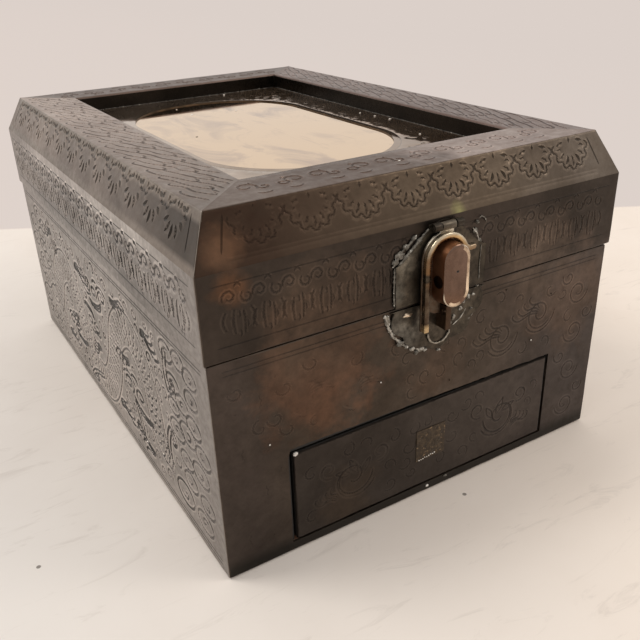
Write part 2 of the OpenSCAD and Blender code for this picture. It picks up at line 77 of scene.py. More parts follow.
# The shortest groove, the least depth that counts, and a burr's width as a share of its groove's
SHORTEST, LEAST_CUT, BURR_SHARE = 0.8, 0.01, 0.55
# Steps along grooves, along their samples, across bare metal and along edges
STEP, FINE_STEP, FILL_STEP, EDGE_STEP = 0.9, 0.18, 3.6, 3.0
# How far cuts and the bare metal's points keep from the edges, and these from the grooves
EDGE_CLEAR, FILL_EDGE, FILL_CLEAR = 1.3, 1.7, 1.5
# The face lies this far below the highest burr
BURR_H = 0.12
# Worn edges: their radius, its spread and the length over which it changes, and lines beside them
EDGE_R, EDGE_SPREAD, EDGE_L = 0.75, 0.35, 9.0
EDGE_LINES = (0.2, 0.5, 0.9)
# The sheets' waves: their height, their length, and how far in from the edges they begin
WAVE, WAVE_L, WAVE_EDGE = 0.05, 26.0, 6.0
# Rounds of projection that find a solid's nearest point, and how near points count as one
SWEEPS, FACE_EPS, BACK_EPS = 24, 1e-4, 1e-3
# From here on a face counts as worn round, as a groove's or as a ridge's
WORN_FROM, GROOVE_FROM, RIDGE_FROM = 0.1, 0.02, -0.012
# Edges sharper than this many degrees stay sharp
SHEET_SHARP, SHARP = 32, 60

# The step along arcs and spirals
ARC_STEP = 0.5

SIDES = ("front", "right", "back", "left")
FRONT, RIGHT = 0, 1


# Curves, as arrays of points on the flat sheet
def arc(cx, cy, r, a0, a1):
    """Part of a circle, from a0 to a1 degrees."""
    count = max(5, int(abs(a1 - a0) * math.pi / 180 * r / ARC_STEP) + 2)
    a = np.radians(np.linspace(a0, a1, count))
    return np.stack([cx + r * np.cos(a), cy + r * np.sin(a)], 1)


def spiral(cx, cy, r0, r1, a0, turn):
    """A line that turns by turn degrees from a0 as its radius goes from r0 to r1."""
    count = max(8, int(abs(turn) * math.pi / 180 * (r0 + r1) / 2 / ARC_STEP))
    t = np.linspace(0, 1, count)
    a = np.radians(a0 + turn * t)
    r = r0 + (r1 - r0) * t
    return np.stack([cx + r * np.cos(a), cy + r * np.sin(a)], 1)


def spline(points, steps=7):
    """A smooth line through the points."""
    p = np.array(points, float)
    p = np.vstack([2 * p[0] - p[1], p, 2 * p[-1] - p[-2]])
    t = np.linspace(0, 1, steps, endpoint=False)[:, None]
    runs = []
    for a, b, c, d in zip(p, p[1:], p[2:], p[3:]):
        runs.append(0.5 * (2 * b + (c - a) * t + (2 * a - 5 * b + 4 * c - d) * t**2
                           + (3 * b - a - 3 * c + d) * t**3))
    return np.vstack(runs + [p[-2:-1]])


def leaf(x, y, length, angle, width):
    """A narrow petal that starts and ends at its root."""
    side = spline([(0, 0), (0.45 * length, 0.5 * width), (length, 0)])
    back = side[::-1] * (1, -1)
    return moved([np.vstack([side, back[1:]])], x, y, angle)[0]


def moved(motif, x=0.0, y=0.0, angle=0.0, scale=1.0, flip=False):
    """The motif's lines, scaled, mirrored left to right if asked, turned and moved."""
    a = math.radians(angle)
    turn = np.array([[math.cos(a), math.sin(a)], [-math.sin(a), math.cos(a)]])
    mirror = np.array([-1.0 if flip else 1.0, 1.0])
    return [(line * scale * mirror) @ turn + (x, y) for line in motif]


def spaced(line, count_for):
    """The line at even places, as many as count_for gives for its length, and their distances."""
    run = np.concatenate([[0], np.cumsum(np.linalg.norm(np.diff(line, axis=0), axis=1))])
    at = np.linspace(0, run[-1], count_for(run[-1]))
    return np.stack([np.interp(at, run, column) for column in line.T], 1), at


def resampled(line, step):
    """The line at even steps, with their distances from its start."""
    return spaced(line, lambda length: max(3, int(round(length / step)) + 1))


def closed(line):
    """The line with its first point again at its end."""
    return np.vstack([line, line[:1]])


def ahead_of(line):
    """Unit vectors along a line, at each of its points."""
    steps = np.gradient(line, axis=0)
    return steps / (np.linalg.norm(steps, axis=1)[:, None] + 1e-9)


def across_of(line):
    """Unit vectors to the left of a flat line, at each of its points."""
    ahead = ahead_of(line)
    return np.stack([-ahead[:, 1], ahead[:, 0]], 1)


def grid_of(us, vs):
    """Every pair of the two lists, as rows."""
    return np.stack(np.meshgrid(us, vs, indexing="ij"), -1).reshape(-1, 2)


def room_in(p, x0, x1, y0, y1):
    """Distance of each point from the nearest side of a rectangle, negative outside."""
    return np.minimum.reduce([p[:, 0] - x0, x1 - p[:, 0], p[:, 1] - y0, y1 - p[:, 1]])


class Net:
    """The points and edges that a sheet is triangulated from."""

    def __init__(self):
        self.points, self.edges = [], []

    def chain(self, run, first=None, last=None):
        """Adds a line of points, between two that are there already if given."""
        ids = list(range(len(self.points), len(self.points) + len(run)))
        self.points.extend(run)
        ids = ([] if first is None else [first]) + ids + ([] if last is None else [last])
        self.edges.extend(zip(ids, ids[1:]))
        return ids

    def groove(self, line, half, burr_w):
        """Adds a groove's bottom, its two edges, and the feet of its burrs if it has them."""
        across = across_of(line)
        ids = self.chain(line)
        for reach in (half, half + burr_w) if burr_w else (half,):
            for sign in (1, -1):
                self.chain((line + sign * across * reach)[1:-1], ids[0], ids[-1])

    def triangles(self, clear):
        """The net's points and the triangles where clear is positive."""
        flat = [Vector((float(p[0]), float(p[1]))) for p in self.points]
        edges = [(int(a), int(b)) for a, b in self.edges]
        made = delaunay_2d_cdt(flat, edges, [], 0, FACE_EPS)
        uv = np.array([tuple(p) for p in made[0]])
        faces = np.array([f for f in made[2] if len(f) == 3])
        used, faces = np.unique(faces[clear(uv[faces].mean(1)) > 0], return_inverse=True)
        return uv[used], faces.reshape(-1, 3)


def depths(uv, samples, tree):
    """Each point's depth in the grooves, negative on their burrs.

    A sample is a place in a groove, with its half width, its depth, and its burr's height
    and width.
    """
    reach = max(half + burr_w for _, half, _, _, burr_w in samples)
    depth = np.zeros(len(uv))
    for i, p in enumerate(uv):
        cuts, ridges = [0.0], [0.0]
        for _, k, far in tree.find_range((p[0], p[1], 0), reach):
            _, half, deep, burr, burr_w = samples[k]
            if far < half:
                cuts.append(deep * (1 - far / half) - burr * far / half)
            elif far < half + burr_w:
                ridges.append(burr * (1 - (far - half) / burr_w))
        depth[i] = max(cuts) if max(cuts) > LEAST_CUT else -max(ridges)
    return depth


class Stroke(NamedTuple):
    """A kind of engraved line. burr is the height of the ridges that the tool threw up."""

    width: float
    depth: float
    burr: float = 0.0

    def faded(self, share):
        return Stroke(self.width, self.depth * share, self.burr * share)


class Sheet:
    """A brass sheet, drawn flat. Loops are its edges and folds its crease lines.

    clear gives each point's distance to the nearest edge, negative outside.
    """

    def __init__(self, loops, folds, clear):
        self.loops = loops
        self.folds = folds
        self.clear = clear
        self.strokes = []

    def cut(self, motif, stroke, margin=EDGE_CLEAR):
        """Engraves each line of the motif where it is clear of the edges."""
        for line in motif:
            fine, _ = resampled(np.asarray(line, float), FINE_STEP)
            inside = self.clear(fine) > margin
            starts = np.flatnonzero(np.diff(np.concatenate([[0], inside, [0]])))
            for a, b in zip(starts[::2], starts[1::2]):
                if (b - a) * FINE_STEP > SHORTEST:
                    self.strokes.append((fine[a:b], stroke))

    def near(self, x, y):
        """Distance from a point to the nearest engraved line so far."""
        return min((np.hypot(*(line - (x, y)).T).min() for line, _ in self.strokes),
                   default=1e9)

    def triangulated(self):
        """Points, triangles, and each point's depth below the sheet's face."""
        net = Net()
        for loop in self.loops:
            ids = net.chain(loop)
            net.edges.append((ids[-1], ids[0]))
        for fold in self.folds:
            net.chain(fold)
        samples = []
        for line, (width, depth, burr) in self.strokes:
            fine, at = resampled(line, FINE_STEP)
            to_tip = np.minimum(at, at[-1] - at)
            half = width / 2 * np.clip(to_tip / TAPER, TIP, 1) ** TIP_POWER
            burr_w = BURR_SHARE * width
            samples += [(p, h, depth * 2 / width * h, burr * 2 / width * h, burr_w)
                        for p, h in zip(fine, half)]
            mid, far = resampled(line, STEP)
            net.groove(mid, np.interp(far, at, half)[:, None], burr_w if burr else 0)
        tree = KDTree(len(samples))
        for k, (p, *_) in enumerate(samples):
            tree.insert((p[0], p[1], 0), k)
        tree.balance()

        lo, hi = self.loops[0].min(0), self.loops[0].max(0)
        grid = np.stack(np.meshgrid(np.arange(lo[0], hi[0], FILL_STEP),
                                    np.arange(lo[1], hi[1], FILL_STEP)), -1).reshape(-1, 2)
        grid = grid[self.clear(grid) > FILL_EDGE]
        net.points.extend(p for p in grid if tree.find((p[0], p[1], 0))[2] > FILL_CLEAR)
        uv, faces = net.triangles(self.clear)
        return uv, faces, depths(uv, samples, tree)


def closest_inside(points, planes, inset):
    """Nearest points of the convex solid inside the planes, drawn in by inset."""
    inset = np.broadcast_to(inset, len(points))
    found = points.copy()
    drift = np.zeros((len(planes), *points.shape))
    for _ in range(SWEEPS):
        for k, (normal, offset) in enumerate(planes):
            trial = found + drift[k]
            past = np.maximum(trial @ normal - (offset - inset), 0)
            found = trial - past[:, None] * normal
            drift[k] = trial - found
    return found


def waviness(points, length):
    """Smooth noise at each point, with features of the length given."""
    return np.array([noise.noise(Vector(p / length)) for p in points])


def mark_sharp(mesh, flags):
    """Marks the edges between flagged faces and others."""
    edge_of = np.empty(len(mesh.loops), np.int32)
    mesh.loops.foreach_get("edge_index", edge_of)
    sizes = np.empty(len(mesh.polygons), np.int32)
    mesh.polygons.foreach_get("loop_total", sizes)
    weights = np.repeat(flags, sizes).astype(float)
    flagged = np.bincount(edge_of, weights=weights, minlength=len(mesh.edges))
    total = np.bincount(edge_of, minlength=len(mesh.edges))
    sharp = np.empty(len(mesh.edges), bool)
    mesh.edges.foreach_get("use_edge_sharp", sharp)
    sharp |= (flagged > 0) & (flagged < total)
    mesh.edges.foreach_set("use_edge_sharp", sharp)


def shown(name, data):
    """A new object in the scene, from a mesh, a light or a camera."""
    thing = bpy.data.objects.new(name, data)
    bpy.context.scene.collection.objects.link(thing)
    return thing


def finish_mesh(mesh, finishes, indices):
    """Gives the mesh its materials and smooth shading."""
    mesh.materials.clear()
    for finish in finishes:
        mesh.materials.append(finish)
    mesh.polygons.foreach_set("material_index", np.asarray(indices, np.int32))
    mesh.polygons.foreach_set("use_smooth", np.ones(len(mesh.polygons), bool))


def make_mesh(name, points, faces, finishes, sharp, indices=None, flags=None):
    """A smooth object from points in millimetres, sharp where it bends by more than sharp."""
    mesh = bpy.data.meshes.new(name)
    mesh.from_pydata([tuple(map(float, p * MM)) for p in points], [],
                     [tuple(map(int, f)) for f in faces])
    finish_mesh(mesh, finishes, [0] * len(faces) if indices is None else indices)
    mesh.update(calc_edges=True)
    mesh.set_sharp_from_angle(angle=math.radians(sharp))
    if flags is not None:
        mark_sharp(mesh, flags)
    return shown(name, mesh)


def fitted(thing, body, slot, nodes=()):
    """Sets a finished piece on its body, in place of the CAD nodes given."""
    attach(thing, body)
    if nodes:
        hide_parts(*nodes)
    return thing


def border_of(faces):
    """The directed edges that only one face has."""
    edges = {(f[k - 1], f[k]) for f in faces for k in range(len(f))}
    return sorted((a, b) for a, b in edges if (b, a) not in edges)


def worn_face(sheet, uv, cut, flat, planes):
    """The engraved and dented face with its edges worn round, and how far each point gave."""
    radius = EDGE_R * (1 + EDGE_SPREAD * waviness(flat, EDGE_L))
    core = closest_inside(flat, planes, radius)
    out = flat - core
    out /= np.linalg.norm(out, axis=1)[:, None]
    clear = sheet.clear(uv)
    depth = cut + BURR_H * np.clip(clear / EDGE_CLEAR, 0, 1)
    calm = np.clip(clear / WAVE_EDGE, 0, 1)
    swell = WAVE * waviness(flat, WAVE_L) * calm
    rounding = np.linalg.norm(core + out * radius[:, None] - flat, axis=1)
    return core + out * (radius - depth + swell - WAVE * calm)[:, None], rounding


def back_faces(sheet, points, links, creases):
    """Triangles between the sheet's rim and its crease lines, seen from behind."""
    start = len(points) - sum(len(line) for line in creases)
    for line in creases:
        links += zip(range(start, start + len(line) - 1), range(start + 1, start + len(line)))
        start += len(line)
    made = delaunay_2d_cdt([Vector(map(float, p)) for p in points], links, [], 0, BACK_EPS)
    uv = np.array([tuple(p) for p in made[0]])
    first = [min(ids) for ids in made[3]]
    return [[first[v] for v in reversed(f)] for f in made[2]
            if sheet.clear(uv[list(f)].mean(0)[None])[0] > 0]


def folded(name, sheet, place, planes, inner_planes, bands, wear, wall=None, band_of=None,
           lip=None, thickness=SKIN_T, creases=()):
    """Folds a drawn sheet into place as a closed solid with worn edges.

    bands are triples of materials, for the face, its grooves and its burrs. wall is for the
    sheet's cut edges, and band_of gives the band at each point of the flat sheet. creases are
    the lines along which its back is folded.
    """
    uv, faces, cut = sheet.triangulated()
    outer, rounding = worn_face(sheet, uv, cut, place(uv), planes)
    if lip is not None:
        outer = lip(outer, uv)
    border = border_of(faces.tolist())
    rim = sorted({v for edge in border for v in edge})
    number = {v: k for k, v in enumerate(rim)}
    under_uv = np.vstack([uv[rim], *creases])
    inner = closest_inside(place(under_uv), inner_planes, thickness)
    links = [(number[a], number[b]) for a, b in border]
    walls = [(b, a, len(uv) + number[a], len(uv) + number[b]) for a, b in border]
    back = [[len(uv) + v for v in f] for f in back_faces(sheet, under_uv, links, creases)]

    count = len(bands)
    band = band_of(uv[faces].mean(1)) if band_of else np.zeros(len(faces), int)
    small = np.linalg.norm(uv[faces] - uv[np.roll(faces, 1, 1)], axis=2).max(1) < 2 * STEP
    height = cut[faces].mean(1)
    grooved, raised = small & (height > GROOVE_FROM), small & (height < RIDGE_FROM)
    index = np.where(rounding[faces].mean(1) > WORN_FROM, 3 * count, band)
    index = np.where(grooved, band + count, np.where(raised, band + 2 * count, index))
    indices = index.tolist() + [3 * count + 1] * len(walls) + [0] * len(back)
    finishes = [kind[k] for k in range(3) for kind in bands] + [wear, wall or wear]
    flags = np.concatenate([grooved, np.zeros(len(walls) + len(back), bool)])
    return make_mesh(name, np.vstack([outer, inner]), faces.tolist() + walls + back, finishes,
                     SHEET_SHARP, indices, flags)


# Folding the flat sheets round the lid and the case
def turned(points, side):
    """Points drawn for the front, turned to the given side."""
    a = math.radians(90 * side)
    turn = np.array([[math.cos(a), math.sin(a), 0], [-math.sin(a), math.cos(a), 0], [0, 0, 1]])
    return points @ turn


def is_flank(side):
    """Whether the side is the left or the right one."""
    return side % 2 == 1


def half_sizes(side, x, y):
    """Half the length of a side, and its distance from the middle."""
    return (y, x) if is_flank(side) else (x, y)


def side_planes(x, y, lean=0.0, rise=0.0):
    """The four planes whose normals lean up from the sides, through height rise."""
    planes = []
    for side in range(4):
        off = half_sizes(side, x, y)[1]
        normal = turned(np.array([[0, -math.cos(lean), math.sin(lean)]]), side)[0]
        planes.append((normal, off * math.cos(lean) + rise * math.sin(lean)))
    return planes


UP, DOWN = np.array([0, 0, 1.0]), np.array([0, 0, -1.0])
LEAN = math.atan2(SLOPE_RUN, SLOPE_H)
LID_SIDES = side_planes(LID_X, LID_Y)
LID_SLOPES = side_planes(LID_X, LID_Y, LEAN, LID_Z0 + SKIRT_H)
LID_PLANES = [*LID_SIDES, *LID_SLOPES, (UP, LID_Z1), (DOWN, -LID_Z0)]
CASE_SIDES = side_planes(CASE_X, CASE_Y)
CASE_PLANES = [*CASE_SIDES, (UP, CASE_Z1), (DOWN, -CASE_Z0)]


def inward(v):
    """How far in from the lid's side a point of the flat sheet lies."""
    return np.interp(v, [0, *LID_CREASES, SHEET_L], [0, 0, SLOPE_RUN, SLOPE_RUN + RIM_W])


def lid_height(v):
    return np.interp(v, [0, *LID_CREASES], [LID_Z0, LID_Z0 + SKIRT_H, LID_Z1])


def straight(a, b, step=EDGE_STEP):
    """Points from a to b without b, at about the step given."""
    a, b = np.array(a, float), np.array(b, float)
    count = max(1, int(round(np.linalg.norm(b - a) / step)))
    return a + (b - a) * np.linspace(0, 1, count, endpoint=False)[:, None]


def whole(a, b):
    """Points from a to b, with b."""
    return np.vstack([straight(a, b), [b]])


def outline(corners):
    return np.vstack([straight(a, b) for a, b in zip(corners, corners[1:] + corners[:1])])


def level_line(long, v):
    """The line across a lid sheet at v, for a side of half length long."""
    reach = long - inward(v)
    return whole((-reach, v), (reach, v))


# Distance from a mitred end as a share of the distance along the sheet
ACROSS_MITRE = math.cos(math.pi / 8)


def lid_sheet(side):
    """The flat sheet of one side of the lid: skirt, slope and rim."""
    long = half_sizes(side, LID_X, LID_Y)[0]
    levels = [0, *LID_CREASES, SHEET_L]
    right = [(long - inward(v), v) for v in levels]
    left = [(-x, v) for x, v in reversed(right)]
    beside = {v + s * d for v in LID_CREASES for d in EDGE_LINES for s in (-1, 1)}
    edges = {v for d in EDGE_LINES[:2] for v in (d, SHEET_L - d)}
    folds = [level_line(long, v) for v in sorted({*LID_CREASES, *beside, *edges})]
    for d in EDGE_LINES:
        path = [(long - inward(v) - d, v) for v in levels]
        line = np.vstack([straight(a, b) for a, b in zip(path, path[1:])] + [path[-1:]])
        folds += [line, line * (-1, 1)]

    def clear(p):
        ends = (long - inward(p[:, 1]) - np.abs(p[:, 0])) * ACROSS_MITRE
        return np.minimum(ends, np.minimum(p[:, 1], SHEET_L - p[:, 1]))

    return Sheet([outline(right + left)], folds, clear)


def on_plane(axis, at):
    """Sets a flat sheet on the plane where the axis given has the value at."""
    return lambda uv: np.insert(uv, axis, at, axis=1)


def lid_place(side):
    off = half_sizes(side, LID_X, LID_Y)[1]

    def place(uv):
        y = -(off - inward(uv[:, 1]))
        return turned(np.stack([uv[:, 0], y, lid_height(uv[:, 1])], 1), side)

    return place


def lid_lip(outer, uv):
    """Rounds the rim down into the recess."""
    s = np.clip(EDGE_R - (SHEET_L - uv[:, 1]), 0, EDGE_R)
    outer[:, 2] -= EDGE_R - np.sqrt(EDGE_R**2 - s**2)
    return outer


def lid_band(uv):
    """0 on the skirt, 1 on the slope and 2 on the rim."""
    return np.digitize(uv[:, 1], LID_CREASES)


def near_lines(x0, x1, y0, y1):
    """Lines beside the four edges of a rectangle, for its worn edges."""
    lines = []
    for d in EDGE_LINES:
        for a, b in [((x0, y0 + d), (x1, y0 + d)), ((x0, y1 - d), (x1, y1 - d)),
                     ((x0 + d, y0), (x0 + d, y1)), ((x1 - d, y0), (x1 - d, y1))]:
            lines.append(whole(a, b))
    return lines


def chipped(at, most):
    """How far an edge has worn back at each place along it."""
    return np.array([most * (0.5 + noise.noise(Vector((0.45 * a, 0.3, 7.0)))) for a in at])


# How far the hole for the drawer has worn back at its left and at its upper left
WORN_SIDE, WORN_CORNER, CHIPS = 0.8, 1.5, 0.3


def rectangle_sheet(x0, x1, y0, y1, hole=None):
    """A flat rectangle, with a hole if given as x0, x1, y0, y1.

    The hole's left and upper edges are worn back, most of all at their shared corner.
    """
    loops = [outline([(x0, y0), (x1, y0), (x1, y1), (x0, y1)])]

    def upper(x):
        a, b, _, d = hole
        return d + WORN_CORNER * np.clip((b - x) / (b - a), 0, 1) + chipped(x, CHIPS)

    def left(y):
        a, _, _, d = hole
        return a - WORN_SIDE - chipped(d - y, CHIPS)

    if hole:
        a, b, c, d = hole
        ys, xs = np.linspace(c, d, 34), np.linspace(a, b, 90)
        loops.append(np.vstack([straight((a, c), (b, c)), straight((b, c), (b, d)),
                                np.stack([xs, upper(xs)], 1)[::-1],
                                np.stack([left(ys), ys], 1)[-2::-1]]))

    def clear(p):
        x, y = p[:, 0], p[:, 1]
        far = room_in(p, x0, x1, y0, y1)
        if hole:
            out = np.maximum.reduce([left(y) - x, x - hole[1], hole[2] - y, y - upper(x)])
            far = np.minimum(far, out)
        return far

    return Sheet(loops, near_lines(x0, x1, y0, y1), clear)


def case_place(side):
    off = half_sizes(side, CASE_X, CASE_Y)[1]
    return lambda uv: turned(on_plane(1, -off)(uv), side)


# Motifs of the engraving
def half_daisy():
    """Half a flower that hangs from its middle: a spike, two dashes and a lobed rim."""
    lines = [np.array([(0, 0.5), (0.2, 2.6)]), np.array([(-5.9, 0.2), (-2.6, 1.3)]),
             np.array([(2.8, 1.5), (6.0, 0.7)])]
    rim = []
    lobes = 7
    for k in range(lobes):
        start = -186 + 192 * k / lobes
        for share, reach in ((0.0, 6.5), (0.25, 7.6), (0.5, 8.1), (0.78, 7.5)):
            a = math.radians(start + share * 192 / lobes)
            rim.append((reach * math.cos(a), reach * math.sin(a)))
    rim.append((6.5, 0.7))
    lines.append(spline(rim, 4))
    return lines


def daisy_rays():
    """The strokes inside the half flower, one for each lobe."""
    rays = []
    for k, (r0, r1) in enumerate(((4.0, 6.2), (3.6, 6.4), (3.4, 6.8), (3.3, 7.0), (3.4, 6.8),
                                  (3.6, 6.4), (4.0, 6.2))):
        a = math.radians(-172 + 27 * k)
        bend = math.radians(-172 + 27 * k + 5)
        rays.append(spline([(r0 * math.cos(a), r0 * math.sin(a)),
                            ((r0 + r1) / 2 * math.cos(bend), (r0 + r1) / 2 * math.sin(bend)),
                            (r1 * math.cos(a), r1 * math.sin(a))]))
    return rays


def running_scroll():
    """Two curls back to back on one stem, with a dot between."""
    return [spiral(-1.9, 0.6, 3.4, 0.9, -60, 430), spiral(2.7, -0.9, 2.2, 0.6, 120, 400),
            arc(0.8, 3.5, 0.5, 0, 330), arc(1.0, -4.2, 2.6, 200, 330)]


def flow_lines(rng, start, run, lean):
    """One slanting line, broken into strokes that hook back at their ends."""
    ahead = np.array([math.cos(lean), math.sin(lean)])
    across = np.array([-ahead[1], ahead[0]])
    lines, s = [], rng.uniform(-3, 0)
    while s < run:
        length = rng.uniform(12, 20)
        bow = rng.uniform(-1.0, 1.0)
        path = [(-1.0, 1.6), (0, 0), (0.3 * length, bow), (0.62 * length, -0.5),
                (length, 0.5 * bow), (length + 1.2, 1.1), (length - 1.8, 2.0)]
        lines.append(spline([start + ahead * (s + a) + across * b for a, b in path], 4))
        s += length + rng.uniform(0.8, 2.2)
    return lines


def hanging_bunch(rng):
    """Long leaves that droop from two scrolls, with small leaves between."""
    lines = [spiral(-2.6, 13.6, 2.2, 0.7, 215, -400), spiral(2.6, 12.9, 2.0, 0.7, 110, 380),
             arc(0, 16.0, 1.0, -20, 190)]
    for k, (x, bow) in enumerate(((-3.4, -1.5), (-1.2, -0.6), (1.1, 0.5), (3.3, 1.3))):
        top = 10.6 - 0.5 * abs(k - 1.5) + rng.uniform(-0.8, 0.6)
        foot = 1.6 * abs(k - 1.5) + rng.uniform(0, 1.2)
        lines.append(spline([(x, top), (x + bow, 0.55 * top + 0.4 * foot),
                             (x + 0.2 * bow, foot)], 6))
    for x, y in ((-2.3, 6.2), (2.2, 5.4), (0, 8.4), (0, 2.2)):
        y += rng.uniform(-0.5, 0.5)
        lines.append(spline([(x, y + 1.3), (x + 0.3, y), (x, y - 1.3)], 4))
    return lines


def cloud_scroll(size):
    """A curled cloud: two scrolls that meet in a tail of three lines."""
    lines = [spiral(-3.4, 0, 3.2, 0.7, -60, 470), spiral(3.4, 0.6, 2.7, 0.6, 240, -450),
             spiral(-3.4, 0, 4.1, 3.9, 20, 150), arc(0, 3.6, 2.2, 15, 170)]
    for k in range(3):
        lines.append(spline([(-1.2 + 0.3 * k, -2.4 - 0.8 * k), (2.0, -4.2 - 1.1 * k),
                             (6.5, -4.6 - 1.0 * k), (10.5, -2.9 - 0.7 * k)]))
    return [line * size for line in lines]


def flame(length):
    """Long tongues that leave one root and curl back at their tips."""
    lines = []
    for k in range(4):
        reach = length * (1 - 0.17 * k)
        lift = 0.3 * length * (k - 1.2) / 2
        lines.append(spline([(0, 0.5 * k), (0.35 * reach, 0.6 * lift + 1.3), (0.75 * reach, lift),
                             (reach, lift + 1.8), (reach - 1.0, lift + 2.9)]))
    return lines


def ribbon(path, width):
    """A ribbon along a path, closed at its ends and filled with rows of scales."""
    mid, at = resampled(path, 3.3)
    ahead, across = ahead_of(mid), across_of(mid)
    half = (width / 2 * np.clip(np.minimum(at, at[-1] - at) / 14, 0.12, 1) ** 0.6)[:, None]
    lines = [mid + across * half, mid - across * half]
    for k in range(1, len(mid) - 1):
        angle = math.degrees(math.atan2(ahead[k, 1], ahead[k, 0]))
        rows = (-0.55, 0.0, 0.55) if k % 2 else (-0.28, 0.28)
        for row in rows:
            centre = mid[k] + across[k] * half[k] * row
            lines.append(arc(*centre, min(1.9, 0.4 * half[k, 0]), angle + 75, angle - 75))
    return lines


def doubled(line):
    """The line and a second one beside it."""
    return [line, line + across_of(line) * 1.6]


def stretched(motif, factor):
    """The motif drawn out along the sheet."""
    return [line * (factor, 1) for line in motif]


def ring_cluster(rng, count, x0, x1, y0, y1):
    """Overlapping double rings with a curl in each, like a bank of cloud."""
    lines = []
    placed = []
    for _ in range(count * 12):
        x, y, r = rng.uniform(x0, x1), rng.uniform(y0, y1), rng.uniform(2.8, 4.4)
        if all(math.dist((x, y), other[:2]) > 0.86 * (r + other[2]) for other in placed):
            placed.append((x, y, r))
            lines += [arc(x, y, r, 0, 355), spiral(x, y, r - 1.9, 0.3, rng.uniform(0, 360), 300)]
        if len(placed) == count:
            break
    return lines


def hook(length):
    """A long U-shaped hook in double line, with a curled end."""
    width = 5.5
    line = spline([(0, length), (0.4, 0.45 * length), (0.5 * width, 0), (width, 0.12 * length),
                   (1.05 * width, 0.34 * length), (0.72 * width, 0.4 * length),
                   (0.6 * width, 0.26 * length)])
    return doubled(line)


def curls(sheet, rng, count, x0, x1, y0, y1, stroke, reach):
    """Fills what is still bare for reach millimetres round with small hooked curls."""
    for _ in range(count):
        x, y = rng.uniform(x0, x1), rng.uniform(y0, y1)
        room = sheet.near(x, y)
        if room < reach or sheet.clear(np.array([[x, y]]))[0] < 3.0:
            continue
        size = min(room - 0.9, 3.0)
        start = rng.uniform(0, 360)
        turn = rng.choice((-1, 1)) * rng.uniform(300, 430)
        sheet.cut([spiral(x, y, size, 0.4, start, turn)], stroke)


# Materials, with the numbers of a mix node's colour inputs and output
MIX_A, MIX_B, MIX_OUT = 6, 7, 2


class Nodes:
    """A material, and short names for its nodes. Most methods return a node's output."""

    def __init__(self, name):
        self.made = bpy.data.materials.new(name)
        self.made.use_nodes = True
        self.tree = self.made.node_tree
        self.tree.nodes.clear()
        self.end = self.add("OutputMaterial").inputs["Surface"]
        self.shader = self.add("BsdfPrincipled")
        self.feed(self.end, self.shader.outputs["BSDF"])
        self.place = self.add("TexCoord").outputs["Object"]

    def feed(self, socket, value):
        """Sets an input to a value or a colour, or links it to the output given."""
        if isinstance(value, bpy.types.NodeSocket):
            self.tree.links.new(value, socket)
        else:
            socket.default_value = (*value, 1) if socket.type == "RGBA" else value

    def add(self, kind, inputs=None, **settings):
        """A new node with the settings given, and its inputs by name or number."""
        node = self.tree.nodes.new("ShaderNode" + kind)
        for name, value in settings.items():
            setattr(node, name, value)
        for name, value in (inputs or {}).items():
            self.feed(node.inputs[name], value)
        return node

    def set(self, **values):
        """Sets inputs of the material's shader."""
        for name, value in values.items():
            self.feed(self.shader.inputs[name.replace("_", " ")], value)

    def scaled(self, x, y, z, turn=(0, 0, 0)):
        """Object coordinates, stretched."""
        inputs = {"Vector": self.place, "Scale": (x, y, z), "Rotation": turn}
        return self.add("Mapping", inputs).outputs["Vector"]

    def noise(self, scale, detail, rough, source=None, warp=0.0):
        """Noise with features 1 / scale metres across."""
        inputs = {"Vector": self.place if source is None else source, "Scale": scale,
                  "Detail": detail, "Roughness": rough, "Distortion": warp}
        return self.add("TexNoise", inputs).outputs["Fac"]

    def band(self, value, low, high, to_low=0.0, to_high=1.0):
        """The value rescaled from low..high to to_low..to_high, and clamped."""
        inputs = {"Value": value, "From Min": low, "From Max": high, "To Min": to_low,
                  "To Max": to_high}
        return self.add("MapRange", inputs).outputs["Result"]

    def maths(self, operation, a, b):
        return self.add("Math", {0: a, 1: b}, operation=operation).outputs["Value"]

    def shaken(self, value, ragged):
        """The value made uneven by up to ragged millimetres either way."""
        waver = self.noise(90, 4, 0.6)
        return self.maths("ADD", value, self.band(waver, 0.3, 0.7, -ragged * MM, ragged * MM))

    def axis(self, axis, start, end, ragged=0.0):
        """0 to 1 along an axis of the row frame, from start to end in millimetres."""
        value = self.add("SeparateXYZ", {"Vector": self.place}).outputs["XYZ"[axis]]
        if ragged:
            value = self.shaken(value, ragged)
        return self.band(value, start * MM, end * MM)

    def near(self, centre, radius, soft, ragged):
        """1 about a place and 0 from the radius on, all in millimetres."""
        inputs = {0: self.place, 1: [c * MM for c in centre]}
        far = self.add("VectorMath", inputs, operation="DISTANCE").outputs["Value"]
        torn = self.shaken(far, ragged)
        return self.band(torn, radius * (1 - soft) * MM, radius * MM, 1.0, 0.0)

    def mix(self, share, a, b):
        """Two colours, mixed."""
        inputs = {0: share, MIX_A: a, MIX_B: b}
        return self.add("Mix", inputs, data_type="RGBA").outputs[MIX_OUT]

    def rough(self, value, low, high):
        self.set(Roughness=self.band(value, 0.3, 0.7, low, high))

    def bump(self, height, strength, distance, under=None):
        """Raises the surface by up to distance millimetres, over the bumps under it."""
        inputs = {"Strength": strength, "Distance": distance * MM, "Height": height}
        if under is not None:
            inputs["Normal"] = under
        bumps = self.add("Bump", inputs).outputs["Normal"]
        self.set(Normal=bumps)
        return bumps


def shade(colour, factor):
    return tuple(c * factor for c in colour)


def along(axis, start, end, ragged=0.0):
    """A mask that grows along an axis of the row frame from start to end, in millimetres."""
    return lambda n: n.axis(axis, start, end, ragged)


def around(centre, radius, soft, ragged):
    """A mask that is full about a place and gone at the radius, in millimetres."""
    return lambda n: n.near(centre, radius, soft, ragged)


